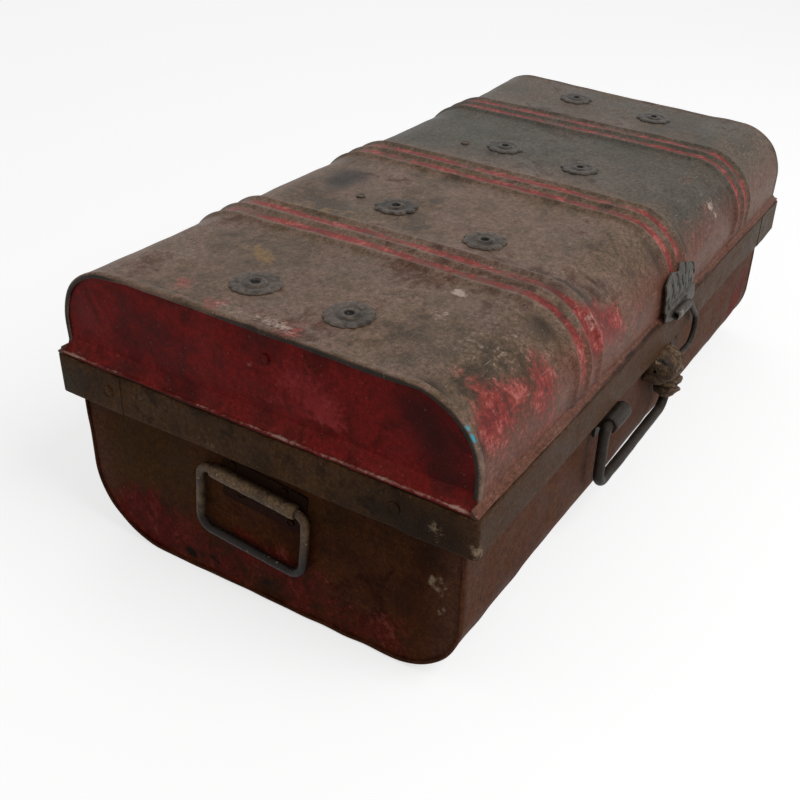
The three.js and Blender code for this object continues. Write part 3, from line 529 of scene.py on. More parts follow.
looks = {
    # japanned brown over crimson, rubbed matt: grey-brown clouds, crimson where grooves and bends wore
    # through; painted highlights along the rib crests, painted shade beside the ribs and in their grooves
    "lidPaint": {
        "broad": 85, "cloud": 17, "mottle": 0.52, "rough": (0.38, 0.58), "gloss": 0.1, "relief": 0.3,
        "coat": [(0.39, "#48392c"), (0.46, "#675342"), (0.53, "#7b6456"), (0.61, "#5a4134")],
        "under": [(0.39, "#4a2620"), (0.46, "#6d2d29"), (0.53, "#923e39"), (0.61, "#c0776f")],
        "cool": "#45463f", "warm": "#6e4235", "ochre": "#866a45", "dark": "#2b2521",
        "pale": "#b59f92", "chip": "#978576", "scratches": 0.5, "chips": 0.3,
    },
    # deep crimson enamel on the lid's ends and hem, darker towards the edges, with painted shadow under the
    # hem's lip
    "lidRed": {
        "broad": 60, "cloud": 24, "mottle": 0.36, "rough": (0.4, 0.56), "gloss": 0.05, "relief": 0.2,
        "coat": [(0.39, "#4c1310"), (0.46, "#641815"), (0.53, "#7e1f1d"), (0.61, "#591712")],
        "under": [(0.32, "#7c2526"), (0.47, "#8d2a2c"), (0.58, "#9d3536"), (0.72, "#ad5450")],
        "cool": "#3a1c16", "warm": "#6d3a33", "ochre": "#5b4030", "dark": "#241210",
        "pale": "#a58578", "chip": "#946a60", "scratches": 0.3, "chips": 0.25,
    },
    # brown over red on the base, sooty and rubbed low down where the red shows; painted shadow high on
    # the walls under the rim band, and a painted highlight along the seams' rolled corners
    "basePaint": {
        "broad": 70, "cloud": 20, "mottle": 0.45, "rough": (0.45, 0.65), "gloss": 0.02, "relief": 0.28,
        "coat": [(0.39, "#2a1308"), (0.46, "#3f1f0f"), (0.53, "#4f2a16"), (0.61, "#38180c")],
        "under": [(0.39, "#3a110c"), (0.46, "#4e1711"), (0.53, "#63201a"), (0.61, "#7a3e34")],
        "cool": "#463018", "warm": "#5e3f30", "ochre": "#6d4f33", "dark": "#150d09",
        "pale": "#94836a", "chip": "#7a5a48", "scratches": 0.28, "chips": 0.2,
    },
    # dark olive-brown paint on the rim band, greasy and scuffed along its top edge
    "bandPaint": {
        "broad": 48, "cloud": 13, "mottle": 0.52, "rough": (0.4, 0.6), "gloss": 0.04, "relief": 0.4,
        "coat": [(0.36, "#20130a"), (0.45, "#392413"), (0.54, "#50361f"), (0.64, "#2c1a0e")],
        "under": [(0.32, "#3f1d18"), (0.47, "#4f241d"), (0.58, "#5f3128"), (0.72, "#7a5044")],
        "cool": "#5b6056", "warm": "#4b3424", "ochre": "#66492f", "dark": "#140f0b",
        "pale": "#97826c", "chip": "#7d6855", "scratches": 0.4, "chips": 0.3,
    },
    # bare tinplate inside, oxidised to a dull grey-brown with rust freckles
    "bareInside": {
        "broad": 90, "cloud": 14, "mottle": 0.18, "rough": (0.45, 0.65), "gloss": 0.3,
        "metal": 0.3, "relief": 0.25,
        "coat": [(0.3, "#5a4d40"), (0.45, "#70645a"), (0.55, "#7c7167"), (0.7, "#64503e")],
        "under": [(0.3, "#6b4024"), (0.5, "#84502c"), (0.75, "#93653c")],
        "cool": "#6f7069", "warm": "#7a6048", "ochre": "#7b5430", "dark": "#37302a",
        "pale": "#a49a8d", "chip": "#8a5a33", "scratches": 0.3, "chips": 0.4,
    },
    # pressed tin rosettes and hasp, patinated to a dull grey-green with dark hollows; painted shade round
    # the rosettes' petal edges, in their eyelets and in the hasp's slot, and a painted highlight on the knuckle
    "greySteel": {
        "broad": 24, "cloud": 6, "mottle": 0.4, "rough": (0.4, 0.6), "gloss": 0.14,
        "metal": 0.08, "relief": 0.4,
        "coat": [(0.38, "#2c2621"), (0.46, "#473e37"), (0.53, "#61564d"), (0.61, "#3b342e")],
        "under": [(0.3, "#4f3b30"), (0.5, "#5f483b"), (0.75, "#6f5a4a")],
        "cool": "#474641", "warm": "#5c5044", "ochre": "#5f4d36", "dark": "#161412",
        "pale": "#9b9384", "chip": "#787060", "scratches": 0.3, "chips": 0.25,
    },
    # the handles' bronze-brown sheet and rod, pitted; painted highlights and glints on the sleeve's outer side,
    # painted shade on its inner side and along the ring's low bar, and pale chips, partly painted glints
    "wornSteel": {
        "broad": 30, "cloud": 5, "mottle": 0.6, "rough": (0.34, 0.5), "gloss": 0.18,
        "metal": 0.04, "relief": 0.95,
        "coat": [(0.39, "#33251a"), (0.46, "#533d29"), (0.53, "#6f573d"), (0.61, "#43311f")],
        "under": [(0.3, "#45271c"), (0.5, "#552f22"), (0.75, "#674335")],
        "cool": "#34322f", "warm": "#6b5240", "ochre": "#6d5337", "dark": "#180f0a",
        "pale": "#a3937a", "chip": "#9b8468", "scratches": 0.25, "chips": 0.75,
    },
    # black-brown wrought iron of the bail, lugs, hook and hinges
    "darkIron": {
        "broad": 26, "cloud": 6, "mottle": 0.4, "rough": (0.38, 0.6), "gloss": 0.14,
        "metal": 0.05, "relief": 0.6,
        "coat": [(0.36, "#17110d"), (0.45, "#271e18"), (0.54, "#362b23"), (0.64, "#1e1712")],
        "under": [(0.3, "#36201a"), (0.5, "#452a20"), (0.75, "#573a2c")],
        "cool": "#322f2b", "warm": "#4c3e33", "ochre": "#4c3928", "dark": "#100d0b",
        "pale": "#7c6f61", "chip": "#5f5144", "scratches": 0.25, "chips": 0.3,
    },
    # rawhide gone hard: tan-brown with creases painted near-black as shade, and pale frayed rims
    "oldHide": {
        "broad": 18, "cloud": 5, "mottle": 0.3, "rough": (0.5, 0.75), "gloss": 0.2, "relief": 0.8,
        "coat": [(0.37, "#2e2118"), (0.46, "#4b3828"), (0.53, "#6b5541"), (0.62, "#3c2c20")],
        "under": [(0.3, "#3a2418"), (0.5, "#4a2f20"), (0.75, "#5c4030")],
        "cool": "#3a352c", "warm": "#6b543a", "ochre": "#8a6f4c", "dark": "#120c08",
        "pale": "#cbb899", "chip": "#a8946f", "scratches": 0.25, "chips": 0.3,
    },
}
finishes = {name: agedPaint(name, look) for name, look in looks.items()}
print("finishes made")


# Lid: one ribbed sheet, its section from the front foot over the top to the back foot
lid = {
    "wall": 155.0, "foot": 141.8, "bend": 45.0, "top": 208.6, "sheet": 0.8,
    "seamLeft": -288.0, "seamRight": 291.5, "seamWidth": 3.0, "seamLift": 0.1,
    "crown": 0.9, "crownHalf": 125, "sprung": 3.2, "bow": 0.7, "bowHeight": 26, "bowSpread": 15,
    "bowLength": 620,
    # rows of points along X: over a rib, between the ribs where a rib is clear of them, and at the two ends
    "ribRows": (-34, 34.1, 1.25), "openRows": (-282, 284, 4.5), "ribClear": 35,
    "endRows": (-287.2, -286.0, -284.5, 285.5, 288.5, 290.4),
}
ribs = {
    "places": np.array([-149.9, 8.0, 172.9]), "pitch": 17.6, "height": 3.3, "crest": 3.0,
    "swellShare": 0.34, "groove": 3.6, "crestHighlight": 1.6, "shoulder": 4.5,
}
lidMarks = {
    "red": [
        (-268, 66, 209, 15, 0.75), (-283, 38, 209, 12, 0.7), (-277, 28, 209, 9, 0.6), (-276, 0, 209, 9, 0.5),
        (-275, -24, 209, 11, 0.9), (-257, -35, 209, 9, 0.4), (-261, -128, 205, 14, 0.6),
        (-263, -146, 190, 17, 0.85), (-275, -149, 186, 10, 0.7), (-248, -146, 190, 15, 0.65),
        (-229, -146, 190, 12, 0.55), (-206, -148, 188, 15, 0.7), (-201, -139, 198, 9, 0.4),
        (-209, -154, 173, 17, 0.45), (-233, -115, 208, 11, 0.3), (-130, -143, 194, 13, 0.8),
        (-120, -150, 184, 16, 0.9), (-137, -151, 182, 12, 0.8), (-149, -147, 189, 10, 0.5),
        (-104, -151, 180, 12, 0.65), (-100, -154, 168, 16, 0.5), (-140, -131, 203, 10, 0.35),
        (113, -123, 207, 10, 0.5), (92, -141, 196, 12, 0.5), (103, -149, 186, 14, 0.45),
        (52, -142, 195, 9, 0.4), (60, -152, 176, 18, 0.35), (278, -118, 208, 8, 0.6),
        (272, -134, 202, 9, 0.5), (-60, -154, 165, 22, 0.4), (-255, -155, 160, 26, 0.35),
        (-205, -156, 152, 30, 0.4), (230, -150, 185, 22, 0.35), (270, 60, 209, 24, 0.25),
        (120, 150, 180, 30, 0.4), (-120, 152, 176, 34, 0.4), (-230, 148, 188, 22, 0.4),
        (230, 150, 182, 26, 0.35), (30, 152, 172, 30, 0.3),
    ],
    "pale": [
        (-279, 28, 209, 8, 0.75), (-282, 14, 209, 8, 0.7), (-277, 1, 209, 6, 0.5), (-278, -8, 209, 7, 0.75),
        (-279, -20, 209, 7, 0.8), (-181, -76, 209, 4.5, 1.3), (-184, -82, 209, 3.5, 1.0),
        (-219, -79, 209, 8, 0.5), (-210, -84, 209, 5, 0.55), (-283, 48, 209, 5, 0.5),
        (106, -145, 191, 3.4, 1.0), (111, -150, 184, 2.6, 0.9), (-262, -147, 188, 9, 0.5),
        (-122, -149, 184, 9, 0.5), (-135, -146, 190, 7, 0.5), (70, -128, 205, 7, 0.4),
    ],
    "ochre": [
        (-206, 57, 209, 10, 0.85), (-214, 45, 209, 8, 0.85), (-200, 70, 209, 6, 0.5),
        (-124, 66, 209, 16, 0.62), (-121, 44, 209, 14, 0.5), (-115, 27, 209, 12, 0.45),
        (-128, 86, 209, 12, 0.45), (-240, 100, 209, 18, 0.4), (-150, -60, 209, 14, 0.25),
        (-60, -20, 209, 16, 0.25),
    ],
    "dark": [
        (-53, 96, 209, 20, 0.85), (-75, 92, 209, 14, 0.7), (-92, 86, 209, 10, 0.4),
        (-164, -155, 151, 13, 0.6), (-135, -33, 209, 9, 0.55), (-158, 1, 209, 8, 0.3),
        (-258, 23, 208, 10, 0.3), (-207, -120, 208, 18, 0.45), (-138, -122, 207, 16, 0.55),
        (-99, -137, 199, 15, 0.55), (-182, -134, 201, 14, 0.6), (-120, -138, 198, 12, 0.4),
        (-233, -140, 196, 12, 0.3), (-20, -145, 192, 16, 0.5), (30, -148, 188, 14, 0.45),
        (-285, -120, 206, 14, 0.6), (-286, -150, 180, 12, 0.6), (-60, 60, 209, 24, 0.25),
        (200, 30, 209, 40, 0.25),
    ],
    "scuff": [
        (-238, -108, 210, 34, 0.34), (-210, -138, 200, 30, 0.34), (110, -142, 192, 34, 0.36),
        (222, -146, 188, 36, 0.36), (-150, -140, 196, 26, 0.3),
    ],
    "fleck": [(-283.5, -147, 190, 2.0, 1.0), (-283.0, -144.5, 194, 1.6, 1.0)],
}
seamFleck = marksAt(-287, (-149, 188, 2.2, 1.0), (-146, 193, 1.8, 1.0))


def wearOf(points, marks):
    # the blots of each kind of mark
    return {key: blots(points, own) for key, own in marks.items()}


def lidSection():
    # front foot, front bend, top, back bend, back foot
    w, r, top, foot = lid["wall"], lid["bend"], lid["top"], lid["foot"]
    return joinPaths(
        np.linspace((-w, foot), (-w, top - r), 12),
        arcPoints(r - w, top - r, r, 180, 90, 22),
        np.linspace((r - w, top), (w - r, top), 46),
        arcPoints(w - r, top - r, r, 90, 0, 22),
        np.linspace((w, top - r), (w, foot), 12),
    )


def ribBells(x, pitches, width):
    # bells along X, one column for each line that lies so many pitches off the middle of a rib
    lines = ribs["places"][:, None] + ribs["pitch"] * np.array(pitches)
    return bell(x[:, None], lines.ravel(), width)


def ribRise(x):
    # three bell-shaped crests a pitch apart on a low swell with soft shoulders
    crests = np.clip(ribBells(x, (-1, 0, 1), ribs["crest"]).sum(1), 0, 1)
    swell = bell(x[:, None], ribs["places"], 1.5 * ribs["pitch"], 4).sum(1)
    return ribs["height"] * ((1 - ribs["swellShare"]) * crests + ribs["swellShare"] * swell)


def lidPlaced(points, **knocks):
    # the crown is highest along the middle line, and the far back corner is sprung up; the dents follow
    x, y, z = np.asarray(points, float).reshape(-1, 3).T
    crown = lid["crown"] * (1 - (y / lid["crownHalf"]) ** 2).clip(0)
    lift = crown * smoothStep(z, lid["top"] - 12, lid["top"])
    corner = smoothStep(x, 190, 290) * smoothStep(y, -30, 120) * smoothStep(z, 150, 205)
    return dented(np.column_stack([x, y, z + lift + lid["sprung"] * corner]), **knocks)


def lidMasks(points, x, fade):
    # x is the place along the lid before its dents; fade is 0 at the foot of the walls and 1 above it
    grooves = ribBells(x, (-0.5, 0.5), ribs["groove"]).max(1) * fade
    # painted highlight: a light line along each rib's crests
    crests = ribBells(x, (-1, 0, 1), ribs["crestHighlight"]).max(1) * fade
    shoulders = bell(np.abs(x[:, None] - ribs["places"]), 1.45 * ribs["pitch"], ribs["shoulder"]).max(1) * fade
    top = smoothStep(points[:, 2], 150, 200)
    wall = 1 - smoothStep(points[:, 2], 176, 200)
    patchy = patches(points, 26, 31)
    cool = smoothStep(points[:, 0], 10, 60) * (1 - 0.35 * smoothStep(points[:, 0], 150, 190))
    crimson = np.clip(1.6 * grooves, 0, 1) * (0.4 + 0.75 * patchy) * (0.42 + 0.58 * top)
    # painted shade beside each rib and in its grooves; also darker near the foot and by the end seams
    darkening = 0.34 * shoulders * (1.2 - patchy) + 0.12 * grooves + 0.2 * (1 - fade) + 0.3 * bell(np.abs(x), 286, 5)
    wear = wearOf(points, lidMarks)
    return {
        "red": 0.66 * wear["red"] + crimson + 0.12 * wall - 0.04,
        "fleck": wear["fleck"] > 0.5,
        # pale: scuffs, and the painted highlight along the crests
        "pale": 0.9 * wear["pale"] + wear["scuff"] + 0.34 * crests * patchy + 0.02,
        "ochre": 0.9 * wear["ochre"],
        "warm": wall * (0.75 + 0.25 * noise(points, 40, 33)) * (1 - 0.55 * smoothStep(points[:, 0], 60, 200)),
        "dark": wear["dark"] + darkening,
        "cool": np.clip(cool * 0.75 * top + 0.2 * noise(points, 50, 5), 0, 1),
    }


def makeLidSkin():
    # rows are close together over the ribs and wide apart between them
    overRibs = np.add.outer(ribs["places"], np.arange(*lid["ribRows"])).ravel()
    between = np.arange(*lid["openRows"])
    clear = np.abs(between[:, None] - ribs["places"]).min(1) > lid["ribClear"]
    x = np.sort(np.concatenate([overRibs, lid["endRows"], between[clear]]))
    section = lidSection()
    height = section[:, 1] - lid["foot"]
    fade = smoothStep(height, 3.0, 10.0)
    bow = lid["bow"] * bell(height, lid["bowHeight"], lid["bowSpread"]) * (section[:, 0] < 0)
    rise = ribRise(x)[:, None] * fade + np.cos(math.pi * x / lid["bowLength"])[:, None] ** 2 * bow
    points, faces, inside = skinBody(x, section, rise, lid["sheet"])
    placed = lidPlaced(points)
    masks = lidMasks(placed, points[:, 0], np.tile(np.concatenate([fade, fade[::-1]]), len(x)))
    finish = ["lidPaint", "bareInside"]
    makePiece("lid_shell", (placed, faces, inside), finish, "lid", masks, "lid_skin", angle=60)


def makeSeam(name, section, face, side, width, lift, ride, masks, finish):
    # the folded edge that grips an end panel: an L-shaped fold with rolled corners, carried round the section
    count = len(section)
    path = np.column_stack([np.full(count, face), section])
    out = np.column_stack([np.zeros(count), leftNormals(section)])
    profile = np.array([
        (-width, -1.1), (-width - 0.1, -0.3), (0.25 - width, 0.15), (0.5 - width, 0.3), (-0.7 * width, 0.3),
        (-0.45 * width, 0.35), (-0.9, 0.2), (-0.3, -0.15), (0.2 + lift, -0.9), (lift + 0.35, -1.9),
        (lift + 0.3, -3.2), (lift + 0.1, -4.6), (lift, -5.4), (-0.35, -5.9), (-0.95, -5.6), (-0.95, -1.6),
    ])
    waves = 1 + 0.12 * noise(path, 15, 61)[:, None, None]
    points, faces = carriedBody(path, out, (side, 0, 0), profile * waves)
    placed = (lidPlaced if ride == "lid" else dented)(points)
    corner = np.tile(bell(np.arange(len(profile)), 7, 1.2), count)
    makePiece(name, (placed, faces), finish, ride, masks(placed, corner))


def lidSeamMasks(points, corner):
    rim = smoothStep(np.abs(points[:, 0]), 287.6, 288.4)
    worn = patches(points, 14, 77)
    return {
        "red": 0.25 * worn + blots(points, lidMarks["red"][:8]) * 0.5,
        "pale": 0.15 * worn + 0.45 * corner * worn**2 + 0.45 * blots(points, lidMarks["pale"][:6]),
        "dark": 0.75 * rim + 0.2 - 0.4 * corner * worn + 0.15 * noise(points, 20, 78),
        "ochre": 0.1 * worn,
        "fleck": blots(points, seamFleck) > 0.5,
    }


makeLidSkin()
seamStep = 2.5
for end, side in (("left", -1), ("right", 1)):
    makeSeam(
        f"lid_seam_{end}", respaced(lidSection(), seamStep), lid["seam" + end.title()], side,
        lid["seamWidth"], lid["seamLift"], "lid", lidSeamMasks, "lidPaint",
    )
print("lid skin made")


# Lid ends: slightly bellied panels inside the folded edge
lidEnd = {"inset": 3.4, "footGap": 0.3, "behindSeam": 1.2, "belly": 1.1, "sheet": 0.8, "rings": 40}
lidEndMarks = {
    "red": marksAt(
        -288,
        (-41, 177, 20, 0.9), (-56, 165, 15, 0.6), (2, 158, 20, 0.45), (79, 150, 18, 0.4), (112, 156, 14, 0.4),
        (-20, 186, 14, 0.4),
    ),
    "pale": marksAt(
        -288,
        (-77, 153, 4, 0.6), (-34, 143, 8, 0.5), (1, 182, 3, 0.9), (10, 146, 12, 0.45), (-60, 146, 14, 0.4),
        (-100, 150, 6, 0.4),
    ),
    "dark": marksAt(
        -288,
        (140, 178, 18, 0.5), (95, 195, 22, 0.45), (30, 200, 20, 0.3), (-130, 175, 24, 0.6),
        (-110, 195, 16, 0.5), (-140, 152, 12, 0.4), (135, 150, 14, 0.3),
    ),
}


def lidEndMasks(points):
    # the far end repeats the near one
    near = points * (-1, 1, 1) if points[:, 0].mean() > 0 else points
    edge = 1 - smoothStep(points[:, 2], 143, 150)
    wear = wearOf(near, lidEndMarks)
    return {
        "red": 0.7 * wear["red"] + 0.15 * edge,
        "pale": 0.8 * wear["pale"] + 0.28 * edge,
        "dark": wear["dark"] + 0.15 * smoothStep(-near[:, 1], 20, 120),
        "ochre": 0.15 * edge,
    }


def makeLidEnd(end, side):
    face = lid["seam" + end.title()] - side * lidEnd["behindSeam"]
    outline = lidSection() - leftNormals(lidSection()) * lidEnd["inset"]
    outline[0, 1] = outline[-1, 1] = lid["foot"] + lidEnd["footGap"]

    def front(y, z):
        across = np.cos(np.clip(y / lid["wall"], -1, 1) * math.pi / 2)
        return face + side * lidEnd["belly"] * across * np.sin(np.clip((z - 142) / 62, 0, 1) * math.pi)

    def back(y, z):
        return front(y, z) - side * lidEnd["sheet"]

    points, faces = panelBody(outline, lidEnd["rings"], front, back)
    body = lidPlaced(points, extra=0.5, size=24, seed=23), faces
    names = (f"lid_panel_{end}", f"lid_end_{end}")
    makePiece(names[0], body, "lidRed", "lid", lidEndMasks, names[1], weld=True)


makeLidEnd("left", -1)
makeLidEnd("right", 1)


# Lid foot: a hollow fillet from the wall into a rolled lip, along the ends and, thinner, along front and back
foot = {
    "left": -287.0, "right": 290.3, "half": 154.5, "wall": 155.0, "long": 294.4, "step": 4, "farShare": 0.56,
}
endProfile = np.array([
    (-0.3, 0.3), (6.4, 0.0), (7.2, 0.4), (7.5, 1.2), (7.1, 2.1), (6.3, 2.5), (5.4, 2.4), (4.2, 2.8), (3.0, 3.9),
    (2.0, 5.6), (1.2, 7.8), (0.5, 9.6), (-0.2, 11.4), (-0.8, 11.8),
])
longProfile = np.array([
    (-0.4, 0.2), (3.6, 0.0), (4.2, 0.5), (4.3, 1.2), (3.8, 1.9), (2.7, 2.3), (1.6, 3.0), (0.8, 4.2), (0.2, 5.8),
    (-0.4, 5.9),
])


def footMasks(points):
    # a rubbed line along the rolled lip, painted shadow below it, and patchy dark all over
    worn = patches(points, 12, 91)
    away = np.maximum(np.abs(points[:, 0]) - 288.5, np.abs(points[:, 1]) - 155)
    lip = bell(points[:, 2], 144.2, 0.8) * smoothStep(away, 3.0, 5.5)
    # painted shadow on the lip's underside, where the hem sits on the band
    under = 1 - smoothStep(points[:, 2], 142.4, 143.4)
    return {
        "red": 0.12 * worn,
        "pale": 0.14 + 0.5 * lip * (0.5 + worn) + 0.2 * worn**2,
        "dark": 0.75 * under + 0.2 * (1 - worn),
        "warm": 0.25 * worn + 0.3 * lip,
    }


def longFootMasks(points):
    return {**footMasks(points), "warm": 0.75}


def nearEndLower(x):
    # half as high beyond the near rib as at the near corner
    return 1 - 0.5 * smoothStep(x, -223, -60)


def makeFoot(side, start, end, out, profile, height=np.ones_like):
    count = int(np.linalg.norm(np.subtract(end, start)) / foot["step"])
    path = np.linspace((*start, lid["foot"]), (*end, lid["foot"]), count)
    loops = np.tile(profile, (count, 1, 1))
    loops[..., 1] *= height(path[:, 0])[:, None]
    points, faces = carriedBody(path, (*out, 0), (0, 0, 1), loops)
    placed = dented(points, extra=0.4, size=11, seed=29)
    finish, masks = ("lidRed", footMasks) if out[0] else ("lidPaint", longFootMasks)
    makePiece(f"lid_foot_{side}", (placed, faces), finish, "lid", masks, f"lid_hem_{side}")


half, long, wall = foot["half"], foot["long"], foot["wall"]
makeFoot("left", (foot["left"], half), (foot["left"], -half), (-1, 0), endProfile)
makeFoot("right", (foot["right"], -half), (foot["right"], half), (1, 0), endProfile * (foot["farShare"], 1))
makeFoot("front", (-long, -wall), (long, -wall), (0, -1), longProfile, nearEndLower)
makeFoot("back", (long, wall), (-long, wall), (0, 1), longProfile)
print("lid ends and foot made")


# Base: one bent sheet with a jog behind the rim band, and two end panels in folded edges
base = {
    "wall": 149.0, "jog": 111.0, "rimWall": 158.3, "rimTop": 140.2, "front": 50.0, "back": 56.0, "sheet": 0.8,
    "pull": 0.8, "pullHeight": 70, "pullSpread": 30, "pullLength": 600, "seam": 288.0, "seamWidth": 2.6,
    "rows": (-283, 284, 4.4), "firstRows": (-287.2, -285.5), "lastRows": (285.5, 287.2),
}
baseEnd = {
    "face": 286.8, "sheet": 0.8, "inset": 1.6, "belly": 0.9, "step": 3.5, "rings": 60, "jogDepth": 6.4,
    "jogFoot": (148.0, 112.4), "half": 156.5, "edgeLow": 113.6, "edgeHigh": 138.2,
}
baseMarks = {
    "red": marksAt(
        -287,
        (96, 8, 30, 0.75), (32, 6, 26, 0.7), (120, 22, 24, 0.6), (16, 39, 15, 0.95), (-13, 37, 14, 0.85),
        (-28, 12, 24, 0.6), (-68, 11, 24, 0.55), (-99, 16, 20, 0.5), (100, 40, 20, 0.55), (60, 30, 22, 0.5),
        (-40, 40, 18, 0.4), (-110, 40, 18, 0.3),
    ),
    "olive": marksAt(
        -287,
        (131, 79, 30, 0.9), (96, 74, 30, 0.85), (53, 75, 24, 0.5), (-54, 95, 26, 0.45), (-12, 98, 24, 0.45),
        (-105, 98, 22, 0.35), (110, 100, 30, 0.8), (60, 100, 30, 0.5),
    ),
    "dark": marksAt(
        -287,
        (10, 64, 16, 0.5), (-76, 69, 24, 0.5), (-126, 93, 18, 0.65), (-106, 52, 18, 0.5), (67, 11, 5, 1.0),
        (63, 9, 3.5, 0.9), (46, 15, 3.5, 1.0), (41, 12, 3, 0.9), (-1, 15, 3.6, 1.1), (55, 13, 3, 0.8),
        (-135, 40, 14, 0.5),
    ),
    "pale": marksAt(
        -287,
        (-128, 80, 3, 0.7), (-133, 81, 3, 0.7), (-137, 77, 3, 0.65), (-131, 73, 3, 0.6), (-126, 75, 3, 0.6),
        (-135, 70, 3, 0.6), (-137, 59, 3, 0.7), (-134, 55, 3, 0.6), (136, 53, 4, 0.5), (-138, 65, 2.5, 0.6),
        (-141, 95, 5, 0.4), (-142, 40, 8, 0.35), (20, 108, 8, 0.45), (-60, 88, 6, 0.3),
    ),
    "front": [
        (-236, -146, 32, 20, 0.6), (-180, -142, 22, 26, 0.6), (-100, -142, 22, 30, 0.5),
        (187, -149, 75, 16, 0.55), (256, -149, 60, 26, 0.75), (230, -146, 36, 26, 0.6),
        (-241, -149, 71, 8, 0.4), (-40, -146, 34, 26, 0.4), (90, -146, 34, 34, 0.5),
    ],
}


def baseMasks(points):
    # both ends take the near one's red and olive, the far one fainter
    wear, far = wearOf(points, baseMarks), wearOf(points * (-1, 1, 1), baseMarks)
    low = 1 - smoothStep(points[:, 2], 12, 60)
    sides = smoothStep(np.abs(points[:, 1]), 120, 146)
    return {
        "red": 0.85 * (wear["red"] + 0.8 * far["red"]) + 0.8 * wear["front"] + 0.25 * low * sides,
        "warm": sides * (0.65 + 0.2 * noise(points, 60, 43)),
        "pale": wear["pale"] + 0.05,
        # dark: dirt marks, and painted shadow high on the walls under the rim band
        "dark": wear["dark"] + 0.3 * smoothStep(points[:, 2], 96, 112),
        "cool": np.clip(wear["olive"] + 0.8 * far["olive"], 0, 1) * 0.7 * (1 - sides),
        "ochre": 0.2 * sides * patches(points, 60, 41),
    }


def baseSection(jogged):
    # back rim, back wall, back bend, underside, front bend, front wall, front rim
    w, jog, front, back, rim = (base[key] for key in ("wall", "jog", "front", "back", "rimWall"))
    body = joinPaths(
        np.linspace((w, jog), (w, back), 10),
        arcPoints(w - back, back, back, 0, -90, 20),
        np.linspace((w - back, 0), (front - w, 0), 30),
        arcPoints(front - w, front, front, -90, -180, 20),
        np.linspace((-w, front), (-w, jog), 10),
    )
    if not jogged:
        return body
    fold = [(rim, jog + 3.5), (rim - 1.5, jog + 1.9), (w + 1.6, jog + 0.6)]
    rimPath = np.array([(rim, base["rimTop"]), (rim, 130)] + fold)
    return np.concatenate([rimPath, body, rimPath[::-1] * (-1, 1)])


def makeBaseSkin():
    section = baseSection(jogged=True)
    x = np.concatenate([base["firstRows"], np.arange(*base["rows"]), base["lastRows"]])
    wall = bell(section[:, 1], base["pullHeight"], base["pullSpread"]) * np.sign(-section[:, 0])
    pull = base["pull"] * np.cos(math.pi * x / base["pullLength"])[:, None] * wall
    points, faces, inside = skinBody(x, section, 0, base["sheet"], pull)
    placed = dented(points)
    placed[:, 2] = np.maximum(placed[:, 2], 0.02)  # the underside stays on the floor
    finish = ["basePaint", "bareInside"]
    makePiece("base_shell", (placed, faces, inside), finish, "base", baseMasks, "base_skin")


def makeBaseEnd(end, side):
    half, rings = baseEnd["half"], baseEnd["rings"]
    outline = respaced(baseSection(jogged=False), baseEnd["step"])
    outline = outline - leftNormals(outline) * baseEnd["inset"]
    top = np.linspace((-half, base["rimTop"]), (half, base["rimTop"]), 60)
    edge = np.linspace((half, baseEnd["edgeLow"]), (half, baseEnd["edgeHigh"]), 14)
    right = np.concatenate([edge[::-1], [baseEnd["jogFoot"]]])
    outline = np.concatenate([outline, right[::-1] * (-1, 1), top, right])

    def front(y, z):
        across = np.cos(np.clip(y / 150, -1, 1) * math.pi / 2)
        belly = baseEnd["belly"] * across * np.sin(np.clip(z / 110, 0, 1) * math.pi)
        jog = baseEnd["jogDepth"] * smoothStep(z, base["jog"], base["jog"] + 2.2)
        return side * (baseEnd["face"] + belly + jog)

    def back(y, z):
        return front(y, z) - side * baseEnd["sheet"]

    points, faces = panelBody(outline, rings, front, back)
    placed = dented(points, extra=0.5, size=26, seed=37)
    placed[:, 2] = np.maximum(placed[:, 2], 1.0)
    inside = np.arange(len(faces)) >= rings * len(outline)
    makePiece(
        f"base_panel_{end}", (placed, faces, inside), ["basePaint", "bareInside"], "base",
        baseMasks, f"base_end_{end}", weld=True,
    )


def baseSeamMasks(points, corner):
    worn = patches(points, 16, 71)
    return {
        "red": baseMasks(points)["red"] * 0.5,
        # painted highlight along the fold's rolled corner, the rest of the seam darker
        "pale": 0.05 + 0.4 * corner * worn**2,
        "dark": 0.4 - 0.4 * corner,
        "warm": 0.2 + 0.4 * corner * worn,
    }


makeBaseSkin()
for end, side in (("left", -1), ("right", 1)):
    makeBaseEnd(end, side)
for end, side in (("left", -1), ("right", 1)):
    makeSeam(
        f"base_seam_{end}", respaced(baseSection(jogged=False), seamStep), side * base["seam"], side,
        base["seamWidth"], 0.0, "base", baseSeamMasks, "basePaint",
    )
print("base made")


# Rim band: strips along the sides and straps round the corners, their top edge folded in over the rim
band = {
    "bottom": 113.0, "height": 28.5, "highest": 141.7, "flange": 9.0,
    "ripple": 0.35, "wave": 0.45, "swell": 0.25,
    "half": 295.0, "depthHalf": 160.0, "corner": 3.4, "strapRun": 55, "strapSheet": 1.4,
    "stripInset": 0.5, "stripEnd": 240.5, "endStrip": (105.5, 110.5), "stripSheet": 1.0, "stripStep": 4,
}
bandMarks = {
    "pale": [
        (-295, 30, 116, 8, 0.5), (-295, 4, 122, 8, 0.4), (-295, -134, 125, 10, 0.6),
        (-295, -158, 121, 7, 0.5), (-291, -160, 117, 6, 0.5), (-295, -120, 135, 6, 0.4),
        (-295, 88, 132, 8, 0.5),
    ],
    "darkening": marksAt(
        -295,
        (-95, 128, 34, 0.45), (-140, 124, 24, 0.5), (140, 124, 30, 0.25), (20, 136, 24, 0.3),
    ),
    "cool": [
        (295, -160, 128, 60, 0.9), (240, -160, 128, 50, 0.7), (-295, 158, 122, 14, 0.3),
        (250, 160, 128, 60, 0.5),
    ],
}


